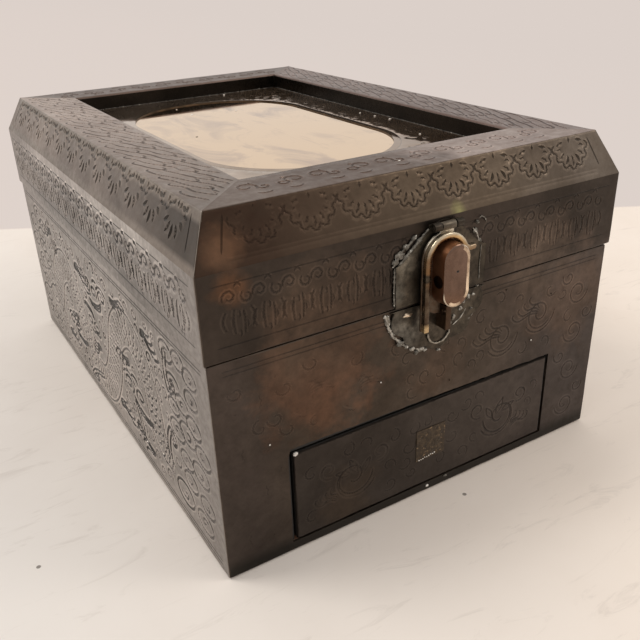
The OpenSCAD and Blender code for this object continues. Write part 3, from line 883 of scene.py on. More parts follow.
def aged_brass(name, dark, light, layers=(), rough=(0.3, 0.5), metallic=0.9, grain=0.2,
               grime=0.35):
    """Patinated brass. Each layer is a mask and the two colours that it lays over the rest."""
    n = Nodes(name)
    fine = n.noise(420, 5, 0.65)
    tone = n.band(n.noise(32, 5, 0.6, warp=0.6), 0.36, 0.66)
    colour = n.mix(tone, dark, light)
    for mask, low, high in layers:
        colour = n.mix(mask(n), colour, n.mix(tone, low, high))
    spots = n.band(fine, 0.35, 0.7, 0.0, grime)
    colour = n.mix(spots, colour, n.mix(tone, shade(dark, 0.5), shade(dark, 0.7)))
    n.set(Base_Color=colour, Metallic=metallic)
    n.rough(fine, *rough)
    scratches = n.noise(160, 3, 0.5, source=n.scaled(1.0, 1.0, 9.0, (0.3, 0.2, 0.5)))
    n.bump(fine, grain, 0.12, under=n.bump(scratches, 0.10, 0.12))
    return n.made


def family(name, dark, light, layers, groove, ridge, **looks):
    """Patinated brass for a face, darker for its grooves, and lighter for its burrs as a painted
    highlight.

    A layer's fourth value, where it has one, says how much of that difference it keeps.
    """
    kinds = []
    for suffix, factor in (("", 1.0), ("_groove", groove), ("_ridge", ridge)):
        tinted = []
        for mask, low, high, *kept in layers:
            share = factor ** (kept[0] if kept else 1)
            tinted.append((mask, shade(low, share), shade(high, share)))
        kinds.append(aged_brass(name + suffix, shade(dark, factor), shade(light, factor), tinted,
                                **looks))
    return tuple(kinds)


def wood(name, colours, axis, painted_shade=None):
    """Board with grain along the axis given. Where the optional mask is full it is black: painted
    shade.
    """
    dark, light = colours
    n = Nodes(name)
    stretch = [60.0, 60.0, 60.0]
    stretch[axis] = 5.0
    grain = n.noise(9, 7, 0.62, source=n.scaled(*stretch), warp=0.5)
    pores = n.noise(34, 3, 0.6, source=n.scaled(*[s * 0.8 for s in stretch]))
    colour = n.mix(n.band(grain, 0.35, 0.65), dark, light)
    colour = n.mix(n.band(pores, 0.58, 0.7, 0.0, 0.6), colour, shade(dark, 0.5))
    if painted_shade:
        colour = n.mix(painted_shade(n), colour, (0.005, 0.004, 0.003))
    n.set(Base_Color=colour)
    n.rough(grain, 0.5, 0.68)
    n.bump(pores, 0.25, 0.2)
    return n.made


def felt(name, dark, light):
    n = Nodes(name)
    fuzz = n.noise(900, 6, 0.7, warp=0.8)
    colour = n.mix(n.band(fuzz, 0.35, 0.65), dark, light)
    patches = n.band(n.noise(45, 3, 0.5), 0.5, 0.75, 0.0, 0.4)
    colour = n.mix(patches, colour, shade(light, 1.2))
    n.set(Base_Color=colour, Roughness=0.95, Sheen_Weight=0.12, Sheen_Roughness=0.6)
    n.bump(fuzz, 0.6, 0.4)
    return n.made


def solder(name, dark, light, bright):
    """Rough solder or dried glue with pale specks."""
    n = Nodes(name)
    lumps = n.noise(700, 5, 0.7)
    colour = n.mix(n.band(lumps, 0.38, 0.6), dark, light)
    colour = n.mix(n.band(n.noise(1100, 3, 0.6), 0.6, 0.7), colour, bright)
    n.set(Base_Color=colour, Metallic=0.55)
    n.rough(lumps, 0.25, 0.6)
    n.bump(lumps, 0.5, 0.25)
    return n.made


def mirror_glass(name):
    """Old mirror glass under dust and wiped streaks."""
    n = Nodes(name)
    streaks = n.noise(15, 5, 0.6, source=n.scaled(4.2, 1.6, 1.0, (0, 0, 0.5)), warp=0.8)
    clean, dusty = (0.80, 0.592, 0.39), (0.53, 0.39, 0.29)
    colour = n.mix(n.band(streaks, 0.5, 0.66), clean, dusty)
    colour = n.mix(n.band(n.noise(60, 4, 0.6), 0.55, 0.75, 0.0, 0.3), colour, dusty)
    n.set(Base_Color=colour, Metallic=1.0)
    n.rough(streaks, 0.02, 0.09)
    return n.made


def plain_noise(name, dark, light, scale, rough, metallic=0.0):
    n = Nodes(name)
    patches = n.noise(scale, 5, 0.6)
    n.set(Base_Color=n.mix(n.band(patches, 0.35, 0.65), dark, light), Metallic=metallic)
    n.rough(patches, *rough)
    n.bump(patches, 0.2, 0.15)
    return n.made


RUST, RUST_LIGHT = (0.085, 0.043, 0.024), (0.135, 0.072, 0.042)
SKIRT_TOP = LID_Z0 + SKIRT_H
# The flanks' pale silver-grey is partly patina and partly a painted sheen, the reflection of the
# bright table and wall beside them.
silver = family("silver_side", (0.163, 0.147, 0.136), (0.254, 0.23, 0.214), [
    (along(2, SKIRT_TOP - 6, SKIRT_TOP - 3.5), (0.45, 0.415, 0.387), (0.58, 0.54, 0.507)),
    (along(2, LID_Z0, LID_Z0 - 1), (0.28, 0.255, 0.236), (0.42, 0.382, 0.358)),
    (along(1, 45, 95), (0.25, 0.225, 0.205), (0.36, 0.325, 0.3), 0.6),
    (along(1, -60, -100), (0.24, 0.217, 0.202), (0.33, 0.3, 0.282), 0.42),
], groove=0.17, ridge=1.75)
silver_slope = family("silver_slope", (0.21, 0.168, 0.142), (0.31, 0.252, 0.216), [
    (along(1, 70, -20), (0.165, 0.136, 0.117), (0.27, 0.224, 0.193)),
    (along(1, -30, -95), (0.046, 0.038, 0.032), (0.084, 0.069, 0.057)),
    (along(2, SKIRT_TOP + 2.6, SKIRT_TOP + 1.2), (0.20, 0.168, 0.142), (0.27, 0.23, 0.195)),
    (along(2, LID_Z1 - 3.4, LID_Z1 - 2.2), (0.19, 0.16, 0.135), (0.25, 0.212, 0.18)),
], groove=0.34, ridge=1.3)
rim_side = family("rim_side", (0.32, 0.25, 0.217), (0.43, 0.35, 0.307), [
    (along(1, 40, -100), (0.147, 0.117, 0.098), (0.213, 0.168, 0.141)),
    (along(0, 0, 50), (0.141, 0.098, 0.086), (0.202, 0.144, 0.128)),
], groove=0.45, ridge=1.2)
rim_front = family("rim_front", (0.27, 0.205, 0.182), (0.37, 0.292, 0.258), [
    (along(0, 20, -60), (0.133, 0.097, 0.078), (0.19, 0.145, 0.115), 0.35),
    (around((-20, -92, 113), 38, 0.5, 10), (0.078, 0.048, 0.034), (0.125, 0.081, 0.06), 0.6),
    (along(1, 60, 90), (0.082, 0.051, 0.039), (0.116, 0.075, 0.057)),
], groove=0.45, ridge=1.3)
# The near-black browns of the front are partly patina and partly a painted reflection of the dark
# room before the box.
front_slope = family("front_slope", (0.0705, 0.05, 0.034), (0.111, 0.082, 0.058), [
    (along(0, -5, -60, 4), (0.027, 0.014, 0.009), (0.05, 0.029, 0.019), 0.45),
    (along(0, 20, 60, 5), (0.105, 0.082, 0.064), (0.162, 0.132, 0.107)),
    (around((-67, -107, 103), 7, 0.8, 3), RUST, RUST_LIGHT),
    (around((7, -109.2, 98.9), 4, 0.8, 1.5), (0.16, 0.145, 0.06), (0.26, 0.24, 0.11)),
], groove=0.5, ridge=1.25)
front_dark = family("front_dark", (0.057, 0.043, 0.032), (0.094, 0.072, 0.057), [
    (along(0, 15, 60, 6), (0.058, 0.047, 0.043), (0.09, 0.073, 0.065)),
    (along(0, -46, -66, 4), (0.047, 0.036, 0.03), (0.075, 0.058, 0.049), 0.45),
    (along(2, LID_Z0 - 0.4, LID_Z0 + 0.4), (0.032, 0.0245, 0.0195), (0.055, 0.0425, 0.035), 0.85),
    (around((-42, -108, 62), 24, 0.5, 8), (0.09, 0.05, 0.032), (0.152, 0.088, 0.059), 0.4),
    (around((-36, -108, 50), 12, 0.7, 6), (0.11, 0.058, 0.036), (0.18, 0.104, 0.067), 0.4),
    (around((-40, -109, 75.5), 24, 0.8, 6), (0.075, 0.05, 0.036), (0.118, 0.083, 0.06)),
    (around((2, -108, 46), 14, 0.7, 6), (0.072, 0.048, 0.034), (0.11, 0.077, 0.056)),
    (around((60, -108, 58), 24, 0.6, 9), (0.084, 0.058, 0.044), (0.125, 0.09, 0.072)),
    (around((40, -109, 75), 20, 0.7, 6), (0.09, 0.065, 0.05), (0.138, 0.105, 0.083)),
    (around((-67, -109, 95), 7, 0.8, 3), RUST, RUST_LIGHT),
    (along(2, 7, 3), (0.02, 0.017, 0.014), (0.034, 0.03, 0.026)),
], rough=(0.34, 0.55), groove=0.64, ridge=1.35)
# The drawer's near-black is partly patina and partly a painted reflection of the dark room before
# the box.
drawer_dark = family("drawer_dark", (0.044, 0.035, 0.029), (0.068, 0.056, 0.048), [
    (along(0, 0, 40, 5), (0.066, 0.053, 0.047), (0.095, 0.078, 0.068)),
    (around((-34, -108, 12), 14, 0.7, 5), (0.055, 0.04, 0.03), (0.085, 0.063, 0.046)),
], rough=(0.34, 0.52), groove=0.6, ridge=1.25)
side_wear = plain_noise("side_wear", (0.19, 0.165, 0.148), (0.28, 0.245, 0.218), 140,
                        (0.28, 0.45), 0.9)
front_wear = plain_noise("front_wear", (0.05, 0.038, 0.03), (0.09, 0.07, 0.055), 140,
                         (0.3, 0.5), 0.9)
# The drawer sheet's worn-round edges, painted near black: painted shade of the gap round the
# drawer.
drawer_worn_edge_shade = plain_noise("drawer_worn_edge_shade", (0.016, 0.012, 0.01), (0.034, 0.027, 0.022), 140,
                          (0.5, 0.7), 0.9)
mat_brass = family("mat_brass", (0.36, 0.27, 0.20), (0.55, 0.45, 0.37), [
    (along(0, 5, 30), (0.21, 0.128, 0.072), (0.45, 0.32, 0.225)),
    (around((-36, -78, 107), 30, 0.6, 8), (0.30, 0.22, 0.155), (0.45, 0.34, 0.26)),
], groove=0.5, ridge=1.2, rough=(0.03, 0.09), metallic=0.92, grain=0.03)
mat_edge = plain_noise("mat_edge", (0.05, 0.036, 0.024), (0.13, 0.093, 0.063), 200,
                       (0.3, 0.5), 0.9)
liner_dark = aged_brass("liner_dark", (0.0115, 0.009, 0.0065), (0.027, 0.021, 0.016),
                        rough=(0.2, 0.38))
OUTER, INNER = ((0.09, 0.042, 0.022), (0.20, 0.10, 0.055)), ((0.20, 0.11, 0.06), (0.36, 0.21, 0.12))
outer_wood = [wood(f"outer_wood_{axis}", OUTER, axis) for axis in (0, 1)]
inner_wood = [wood(f"inner_wood_{axis}", INNER, axis) for axis in (0, 1)]
# Black at the front edges: painted shade in the gap round the drawer.
gap_shade_wood = wood("gap_shade_wood", OUTER, 0, along(1, -101, -105))
red_felt = felt("red_felt", (0.09, 0.012, 0.016), (0.19, 0.028, 0.034))
glass = mirror_glass("old_mirror")
hinge_brass = aged_brass("hinge_brass", (0.16, 0.12, 0.065), (0.30, 0.23, 0.13))
nail_brass = aged_brass("nail_brass", (0.22, 0.165, 0.085), (0.40, 0.31, 0.17))
KNUCKLE = (0.5, -111.7, 97.2)
KNUCKLE_TOP = (along(2, 95.7, 96.7), (0.05, 0.04, 0.03), (0.115, 0.093, 0.07))
plate_brass = aged_brass("plate_brass", (0.034, 0.028, 0.021), (0.11, 0.09, 0.068), [
    (around((-14, -110, 90), 10, 0.8, 3), (0.11, 0.097, 0.076), (0.3, 0.272, 0.222)),
    (around((-17, -110, 80), 5, 0.9, 3), (0.07, 0.065, 0.055), (0.18, 0.17, 0.145)),
    (around((-14, -110, 65), 9, 0.9, 4), (0.08, 0.075, 0.065), (0.24, 0.222, 0.19)),
    (around((10, -110, 66), 8, 0.9, 4), (0.075, 0.06, 0.045), (0.17, 0.145, 0.11)),
    # A painted shadow beside the strap's left leg.
    (around((-9.5, -110, 82), 5, 0.8, 2), (0.012, 0.009, 0.006), (0.035, 0.026, 0.018)),
    (around(KNUCKLE, 7, 0.3, 0.5), (0.024, 0.019, 0.014), (0.06, 0.047, 0.036)),
], grime=0.9, grain=0.8)
# Pale silver round the outside of the arch's top and gold within it: a painted highlight of light
# from above. Lower down the legs turn brown and near black, with a gold tip.
bright_brass = aged_brass("bright_brass", (0.37, 0.3, 0.21), (0.77, 0.67, 0.51), [
    (around((-0.3, -112.7, 87.5), 7.5, 0.06, 0.3), (0.3, 0.19, 0.085), (0.66, 0.46, 0.23)),
    (along(2, 93.5, 88.5, 1), (0.1, 0.052, 0.023), (0.23, 0.13, 0.062)),
    (along(2, 83, 79, 1), (0.02, 0.012, 0.008), (0.075, 0.048, 0.03)),
    # A near-black spot: painted shade of the gap between the strap's leg and the tongue.
    (around((-7.8, -112.7, 82.9), 1.9, 0.3, 0.3), (0.006, 0.004, 0.003), (0.02, 0.013, 0.009)),
    (along(2, 68.4, 67, 0.5), (0.3, 0.2, 0.1), (0.75, 0.55, 0.3)), KNUCKLE_TOP,
], rough=(0.16, 0.34))
hasp_dark = aged_brass("hasp_dark", (0.035, 0.02, 0.013), (0.09, 0.053, 0.031))
# Pale silver along the top of the plate's rim: a painted highlight of light from above. Darker
# within the ring and lower down.
hasp_brass = aged_brass("hasp_brass", (0.36, 0.32, 0.255), (0.8, 0.73, 0.62), [
    (around((-0.3, -111, 87.5), 7.8, 0.04, 0.2), (0.08, 0.042, 0.025), (0.2, 0.11, 0.065)),
    (along(2, 93.5, 90.5, 0.5), (0.035, 0.02, 0.013), (0.09, 0.053, 0.031)), KNUCKLE_TOP,
])
copper = aged_brass("copper", (0.078, 0.046, 0.031), (0.184, 0.118, 0.09), [
    # Paler at the round foot: a painted highlight.
    (along(2, 79, 73, 1), (0.12, 0.06, 0.035), (0.3, 0.18, 0.12)),
], rough=(0.2, 0.36))
copper_side = aged_brass("copper_side", (0.1, 0.042, 0.02), (0.27, 0.125, 0.064), [
    # A near-black spot: painted shade of the gap between the strap's leg and the tongue.
    (around((-4.5, -114.3, 81.5), 2.1, 0.2, 0.3), (0.006, 0.002, 0.001), (0.012, 0.005, 0.003)),
])
# Cream along the right edge and at the foot: painted highlights on the tongue's rounded rim.
copper_edge = aged_brass("copper_edge", (0.08, 0.044, 0.03), (0.2, 0.125, 0.09), [
    (along(0, 1.5, 3.5, 0.5), (0.45, 0.36, 0.27), (0.95, 0.84, 0.68)),
    (around((-1.5, -116.5, 74.5), 4.5, 0.5, 1), (0.45, 0.36, 0.27), (0.95, 0.84, 0.68)),
], rough=(0.14, 0.28))
# Pale copper: a painted highlight on the tongue's right edge and foot, and the curl of copper by
# the latch.
worn_copper_and_highlight = plain_noise("worn_copper_and_highlight", (0.3, 0.21, 0.145), (0.85, 0.7, 0.53), 260,
                          (0.18, 0.34), 0.95)
pit = plain_noise("pit", (0.012, 0.008, 0.006), (0.03, 0.02, 0.015), 400, (0.5, 0.7))
wire_silver = plain_noise("wire_silver", (0.16, 0.14, 0.11), (0.5, 0.46, 0.4), 260,
                          (0.2, 0.4), 0.9)
solder_grey = solder("solder_grey", (0.06, 0.052, 0.042), (0.2, 0.185, 0.16), (0.6, 0.58, 0.53))
solder_bright = solder("solder_bright", (0.14, 0.125, 0.1), (0.5, 0.47, 0.42), (0.85, 0.83, 0.8))
dust_grey = solder("dust_grey", (0.02, 0.017, 0.014), (0.11, 0.10, 0.09), (0.42, 0.40, 0.36))
scar = solder("scar", (0.03, 0.021, 0.014), (0.072, 0.05, 0.03), (0.24, 0.165, 0.095))
white_speck = plain_noise("white_speck", (0.45, 0.40, 0.35), (0.85, 0.82, 0.78), 900, (0.3, 0.6))


# The lid's sheets, and how near to a sheet's edge its closer cuts may come
NEAR_EDGE = 0.8


def spread(count, reach):
    """The middles of count equal parts of the line from -reach to reach."""
    return [(k - (count - 1) / 2) * 2 * reach / count for k in range(count)]


def draw_skirt(sheet, long, worn, rng):
    """Hanging bunches between two lines."""
    inner = long - 4.0
    sheet.cut([np.array([(-inner, v), (inner, v)]) for v in (4.2, SKIRT_H - 3.6)],
              Stroke(0.45, 0.09))
    pitch, wide, stroke = 11.0, 1.3, Stroke(1.3, 0.3, 0.12)
    if worn:
        pitch, wide, stroke = 8.6, 1.0, Stroke(0.85, 0.12, 0.05)
    for x in spread(int(round(2 * (inner - 3) / pitch)), inner - 3):
        sheet.cut(moved(stretched(hanging_bunch(rng), wide), x, 4.4, scale=0.98), stroke)


def draw_slope(sheet, long, worn):
    """Half flowers that hang from the rim, rubbed faint at the left of the worn sheets."""
    top = SKIRT_H + SLOPE_L
    reach = long - SLOPE_RUN - 4.5
    for v in (SKIRT_H + 2.0, SKIRT_H + 3.1):
        sheet.cut([np.array([(-reach - 1, v), (reach + 1, v)])], Stroke(0.35, 0.03))
    for sign in (-1, 1):
        end = [(sign * (reach + 2.4), SKIRT_H + 4), (sign * (reach - 0.6), top - 1.6)]
        sheet.cut([np.array(end)], Stroke(0.6, 0.14))
    for x in spread(int(round(2 * (reach - 1) / 16.5)), reach - 1):
        flower = moved(half_daisy(), x, top - 3.0)
        if worn:
            rubbed = np.interp(x, [-60, 30], [0.3, 1.0])
            rays = moved(daisy_rays(), x, top - 3.0)
            sheet.cut(flower[:3] + rays, Stroke(1.15, 0.22, 0.08).faded(rubbed), NEAR_EDGE)
            sheet.cut(flower[3:], Stroke(1.0, 0.16, 0.07).faded(rubbed), NEAR_EDGE)
        else:
            dots = [arc(x + dx, top - 1.7, 0.5, 0, 330) for dx in (-6.2, -2.1, 2.1, 6.2)]
            rays = moved(daisy_rays(), x, top - 3.0, scale=1.2)
            sheet.cut(dots + flower[:3] + rays, Stroke(1.6, 0.26, 0.1), NEAR_EDGE)


def draw_rim(sheet, side, long, rng):
    """Running scrolls along the front and back, and slanting lines at the sides."""
    top = SKIRT_H + SLOPE_L
    reach = long - SLOPE_RUN - 0.55 * RIM_W - 3
    if not is_flank(side):
        for k, x in enumerate(spread(int(round(2 * reach / 11)), reach)):
            scroll = moved(running_scroll(), x, top + 0.55 * RIM_W, flip=k % 2 == 1)
            sheet.cut(scroll, Stroke(0.95, 0.2, 0.08))
        return
    lean, low, high = math.radians(20), top + 2.6, SHEET_L - 3.0
    for x in np.arange(-reach - 32, reach + 6, 9.4):
        lines = flow_lines(rng, np.array([x, low]), (high - low) / math.sin(lean), lean)
        sheet.cut(stretched(lines, -1 if side == RIGHT else 1), Stroke(0.95, 0.2, 0.06))


def make_lid_skins():
    for side, word in enumerate(SIDES):
        node = "lid_skin_" + word
        bands, wear = ([front_dark, front_slope, rim_front], front_wear)
        if is_flank(side):
            bands, wear = ([silver, silver_slope, rim_side], side_wear)
        sheet, rng = lid_sheet(side), random.Random(20 + side)
        long = half_sizes(side, LID_X, LID_Y)[0]
        draw_skirt(sheet, long, not is_flank(side), rng)
        draw_slope(sheet, long, not is_flank(side))
        draw_rim(sheet, side, long, rng)
        inner = [*LID_SIDES, *LID_SLOPES, (UP, LID_Z1)]
        creases = [level_line(long, v) for v in LID_CREASES]
        made = folded(node + "_engraved", sheet, lid_place(side), LID_PLANES, inner, bands,
                      wear, None, lid_band, lid_lip, creases=creases)
        fitted(made, "lid", "lid_brass", [node])


# The case's sheets
FAINT = Stroke(0.8, 0.09, 0.03)


def draw_case_side(sheet, rng):
    """A scaled ribbon that winds among clouds, flames and hooks, between two cloud banks."""
    x1, z0, z1 = CASE_Y, CASE_Z0, CASE_Z1
    for z in (z0 + 2.4, z0 + 3.8, z1 - 3.2, z1 - 4.4):
        sheet.cut([np.array([(-x1 + 4, z), (x1 - 4, z)])], Stroke(0.5, 0.1))
    long = 1.6
    for end in (-1, 1):
        a, b = sorted((end * (x1 - 32) / long, end * (x1 - 9) / long))
        sheet.cut(stretched(ring_cluster(rng, 24, a, b, z0 + 8, z1 - 8), long),
                  Stroke(1.15, 0.28, 0.1))
    path = spline([(-72, 20), (-62, 42), (-44, 50), (-30, 36), (-20, 18), (-2, 14), (12, 28),
                   (22, 47), (38, 54), (54, 42), (58, 24), (70, 16)])
    sheet.cut(ribbon(path, 15.0), Stroke(1.1, 0.3, 0.12))
    placed = [
        # motif, x, z, angle, mirrored
        (cloud_scroll(0.95), -44, 24, 0, False), (cloud_scroll(1.0), 4, 55, 15, True),
        (cloud_scroll(1.1), 36, 30, -10, False), (cloud_scroll(0.8), -10, 38, 160, False),
        (hook(15), -66, 52, 0, False), (hook(15), 66, 34, 180, True),
        (hook(13), -14, 52, 15, False), (hook(15), 44, 12, 20, True),
        (hook(15), 70, 50, -10, False), (hook(14), -30, 10, -70, False),
        (flame(11), -60, 13, 8, False), (flame(14), -28, 57, -20, False),
        (flame(9), -62, 60, 12, True), (flame(13), 12, 12, 4, False),
        (flame(11), 52, 60, -15, False), (flame(12), 50, 11, 170, False),
        (flame(9), -4, 28, 30, True), (flame(10), 34, 42, -160, False),
        (flame(10), -36, 30, 60, True), (flame(11), 20, 61, 185, True),
    ]
    for motif, x, z, angle, flip in placed:
        drawn = stretched(moved(motif, angle=angle, flip=flip), long)
        sheet.cut(moved(drawn, x, z), Stroke(1.35, 0.34, 0.12))
    curls(sheet, rng, 900, -x1 + 30, x1 - 30, z0 + 7, z1 - 7, Stroke(1.0, 0.28, 0.11), 2.3)


def draw_case_front(sheet, rng, hole):
    """Faint scrolls round the drawer, or over the whole sheet at the back."""
    x1, z1 = CASE_X, CASE_Z1
    for z in (z1 - 3.0, z1 - 4.4):
        sheet.cut([np.array([(-x1 + 4, z), (x1 - 4, z)])], Stroke(0.45, 0.1))
    curl = [spiral(0, 0, 5.0, 0.8, 180, 520), spiral(5.6, 6.4, 3.0, 0.6, 30, -400)]
    flower = [spiral(0, 0, 6.2, 1.0, 200, 560), spiral(0, 0, 7.4, 6.8, 170, 150), *flame(13)]
    for sign, clear in ((-1, 0.45), (1, 1.3)):
        flip = sign > 0
        motifs = [moved(curl, sign * 64.5, 12 + 15.5 * k, flip=(k % 2 == 0) != flip)
                  for k in range(4)]
        motifs += [moved(flower, sign * (29 + 17 * k), 51 + 4 * k, angle=-10 * sign, flip=flip)
                   for k in range(2)]
        for motif in motifs:
            sheet.cut(motif, FAINT.faded(clear))
    floor = 42 if hole else 6
    curls(sheet, rng, 160 if hole else 420, -x1 + 5, x1 - 5, floor, z1 - 7, FAINT, 3.0)


def make_case_skins():
    drawer = box("drawer_skin")
    gap = 0.8
    hole = (drawer[0][0] - gap, drawer[1][0] + gap, box("base_board")[1][2], drawer[1][2] + gap)
    for side, word in enumerate(SIDES):
        node = "case_skin_" + word
        band, wear = (silver, side_wear) if is_flank(side) else (front_dark, front_wear)
        long = half_sizes(side, CASE_X, CASE_Y)[0]
        sheet = rectangle_sheet(-long, long, CASE_Z0, CASE_Z1, hole if side == FRONT else None)
        rng = random.Random(40 + side)
        if is_flank(side):
            draw_case_side(sheet, rng)
        else:
            draw_case_front(sheet, rng, side == FRONT)
        made = folded(node + "_engraved", sheet, case_place(side), CASE_PLANES, CASE_SIDES,
                      [band], wear)
        fitted(made, "case", "case_brass", [node])


def make_drawer_skin():
    lo, hi = box("drawer_skin")
    sheet = rectangle_sheet(lo[0], hi[0], lo[2], hi[2])
    mid = (lo[2] + hi[2]) / 2
    for flip in (False, True):
        sign = -1 if flip else 1
        motif = [spiral(0, 0, 9.0, 4.6, 200, 230), spiral(0, 0, 7.6, 1.2, 175, 520),
                 spiral(-10.5, 5.5, 3.6, 0.8, 300, -430), spiral(9.0, 6.0, 3.4, 0.8, 240, 420),
                 leaf(-1.5, 1.0, 6.5, 65, 2.4), leaf(1.0, 1.5, 6.0, 20, 2.2),
                 leaf(-3.5, 0.0, 6.0, 120, 2.2), *moved(flame(9), 6, -7, 20)]
        sheet.cut(moved(motif, sign * 31, mid - 1, flip=flip),
                  Stroke(0.8, 0.06 if flip else 0.15, 0.04))
    curls(sheet, random.Random(60), 130, lo[0] + 5, hi[0] - 5, lo[2] + 5, hi[2] - 5, FAINT, 3.0)

    front = (np.array([0, -1.0, 0]), -lo[1])
    edges = [(np.array([-1.0, 0, 0]), -lo[0]), (np.array([1.0, 0, 0]), hi[0]),
             (UP, hi[2]), (DOWN, -lo[2])]
    made = folded("drawer_skin_engraved", sheet, on_plane(1, lo[1]), [front, *edges], [front],
                  [drawer_dark], drawer_worn_edge_shade)
    fitted(made, "drawer", "case_brass", ["drawer_skin"])


MIRROR_X, MIRROR_W, MIRROR_D, MIRROR_R = -3.4, 72.0, 132.0, 35.0


def mirror_outline(grow=0.0):
    """The mat's opening, counter-clockwise, grown on every side."""
    w, d, r = MIRROR_W / 2 + grow, MIRROR_D / 2 + grow, MIRROR_R + grow
    corners = [(w - r, d - r, 0), (r - w, d - r, 90), (r - w, r - d, 180), (w - r, r - d, 270)]
    return np.vstack([arc(x, y, r, a, a + 90)[:-1] for x, y, a in corners]) + (MIRROR_X, 0)


def make_mat():
    lo, hi = box("mirror_mat")
    opening, _ = resampled(closed(mirror_outline()), 1.5)
    sheet = rectangle_sheet(lo[0], hi[0], lo[1], hi[1])
    plain = sheet.clear

    def clear(p):
        w, d = MIRROR_W / 2 - MIRROR_R, MIRROR_D / 2 - MIRROR_R
        x = np.maximum(np.abs(p[:, 0] - MIRROR_X) - w, 0)
        y = np.maximum(np.abs(p[:, 1]) - d, 0)
        return np.minimum(plain(p), np.hypot(x, y) - MIRROR_R)

    sheet.clear = clear
    sheet.loops.append(opening[:-1])
    for grow in EDGE_LINES[:2]:
        sheet.folds.append(resampled(closed(mirror_outline(grow)), 1.5)[0])
    ring = mirror_outline(2.6)
    quarter = len(ring) // 4
    sheet.cut([np.vstack([ring[-2 * quarter:], ring[:quarter]])], Stroke(0.5, 0.05), NEAR_EDGE)
    for sx in (-1, 1):
        for sy in (-1, 1):
            for x, y, size in ((40, 74, 1.0), (29, 77, 0.7), (45, 62, 0.6)):
                sheet.cut(moved(cloud_scroll(size), sx * x, sy * y, 40 * sx * sy, 1, sx < 0),
                          Stroke(0.6, 0.06 if sx > 0 else 0.02), NEAR_EDGE)
    curls(sheet, random.Random(70), 500, 0, hi[0] - 2, lo[1] + 2, hi[1] - 2, Stroke(0.6, 0.05),
          2.2)

    made = folded("mirror_mat_engraved", sheet, on_plane(2, hi[2]), [(UP, hi[2])],
                  [(UP, hi[2])], [mat_brass], mat_brass[0], mat_edge, thickness=hi[2] - lo[2])
    fitted(made, "lid", "mat_brass", ["mirror_mat"])


# Copies of CAD nodes with softened edges. Lengths are in millimetres, angles in degrees
FLAT_AREA = 40.0
BEND, ROUND_BEND = 30, 40
BUMPS_PER_METRE = 900


def baked(name, made, finish):
    """A mesh of one finish from a bmesh, which is freed."""
    mesh = bpy.data.meshes.new(name)
    made.to_mesh(mesh)
    made.free()
    finish_mesh(mesh, [finish], [0] * len(mesh.polygons))
    return mesh


def softened(node, body, slot, finish, width, segments=2, rough=0.0):
    """The node's shape with rounded edges, and uneven by rough if given.

    The edges of its large flat faces stay sharp, so that they reflect as flat faces do.
    """
    made = bmesh.new()
    made.from_mesh(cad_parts[node].data)
    bmesh.ops.remove_doubles(made, verts=made.verts, dist=1e-6)
    bmesh.ops.dissolve_limit(made, angle_limit=math.radians(1), verts=made.verts,
                             edges=made.edges)
    bend = math.radians(BEND)
    sharp = [e for e in made.edges if e.is_manifold and e.calc_face_angle(0) > bend]
    bmesh.ops.bevel(made, geom=sharp, offset=width * MM, segments=segments, profile=0.5,
                    affect="EDGES", clamp_overlap=True)
    if rough:
        for vertex in made.verts:
            bump = noise.noise(vertex.co * BUMPS_PER_METRE)
            vertex.co += vertex.normal * (bump * rough * MM)
    mesh = baked(node + "_soft", made, finish)
    mesh.set_sharp_from_angle(angle=math.radians(ROUND_BEND))
    for face in mesh.polygons:
        if face.area > FLAT_AREA * MM**2:
            for k in face.loop_indices:
                mesh.edges[mesh.loops[k].edge_index].use_edge_sharp = True
    fitted(shown(node + "_soft", mesh), body, slot, [node])


def make_boards():
    for nodes, body, slot, finish in (
            (("front_rail", "front_stiles"), "case", "outer_wood", gap_shade_wood),
            (("back_board",), "case", "outer_wood", outer_wood[0]),
            (("base_board", "side_board_left", "side_board_right"), "case", "outer_wood",
             outer_wood[1]),
            (("divider_board", "drawer_guides", "drawer_stops"), "case", "inner_wood",
             inner_wood[1]),
            (("lid_board_front", "lid_board_back"), "lid", "outer_wood", outer_wood[0]),
            (("lid_board_left", "lid_board_right"), "lid", "outer_wood", outer_wood[1]),
            (("lid_panel",), "lid", "inner_wood", inner_wood[1]),
            (("drawer_front",), "drawer", "outer_wood", gap_shade_wood),
            (("drawer_back",), "drawer", "inner_wood", inner_wood[0]),
            (("drawer_side_left", "drawer_side_right", "drawer_bottom"), "drawer",
             "inner_wood", inner_wood[1])):
        for node in nodes:
            softened(node, body, slot, finish, 0.3)


def colour_hidden_boards():
    """Gives the boards that stay as CAD nodes a better material."""
    for nodes, finish in ((("lid_rail_front", "lid_rail_back"), outer_wood[0]),
                          (("lid_rail_left", "lid_rail_right"), outer_wood[1]),
                          (("mirror_backing",), inner_wood[1])):
        for node in nodes:
            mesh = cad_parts[node].data
            mesh.materials.clear()
            mesh.materials.append(finish)


def slab(name, us, vs, top, bottom, place, finish):
    """A closed sheet over a grid, from its heights and the place of each (u, v, height)."""
    grid = grid_of(us, vs)
    count, nv = len(grid), len(vs)
    points = np.vstack([np.column_stack([grid, top]), np.column_stack([grid, bottom])])
    faces = []
    for i in range(len(us) - 1):
        for j in range(nv - 1):
            a = i * nv + j
            faces.append((a, a + nv, a + nv + 1, a + 1))
            faces.append((count + a, count + a + 1, count + a + nv + 1, count + a + nv))
    faces += [(b, a, a + count, b + count) for a, b in border_of(faces) if a < count]
    return make_mesh(name, place(points), faces, [finish], SHARP)


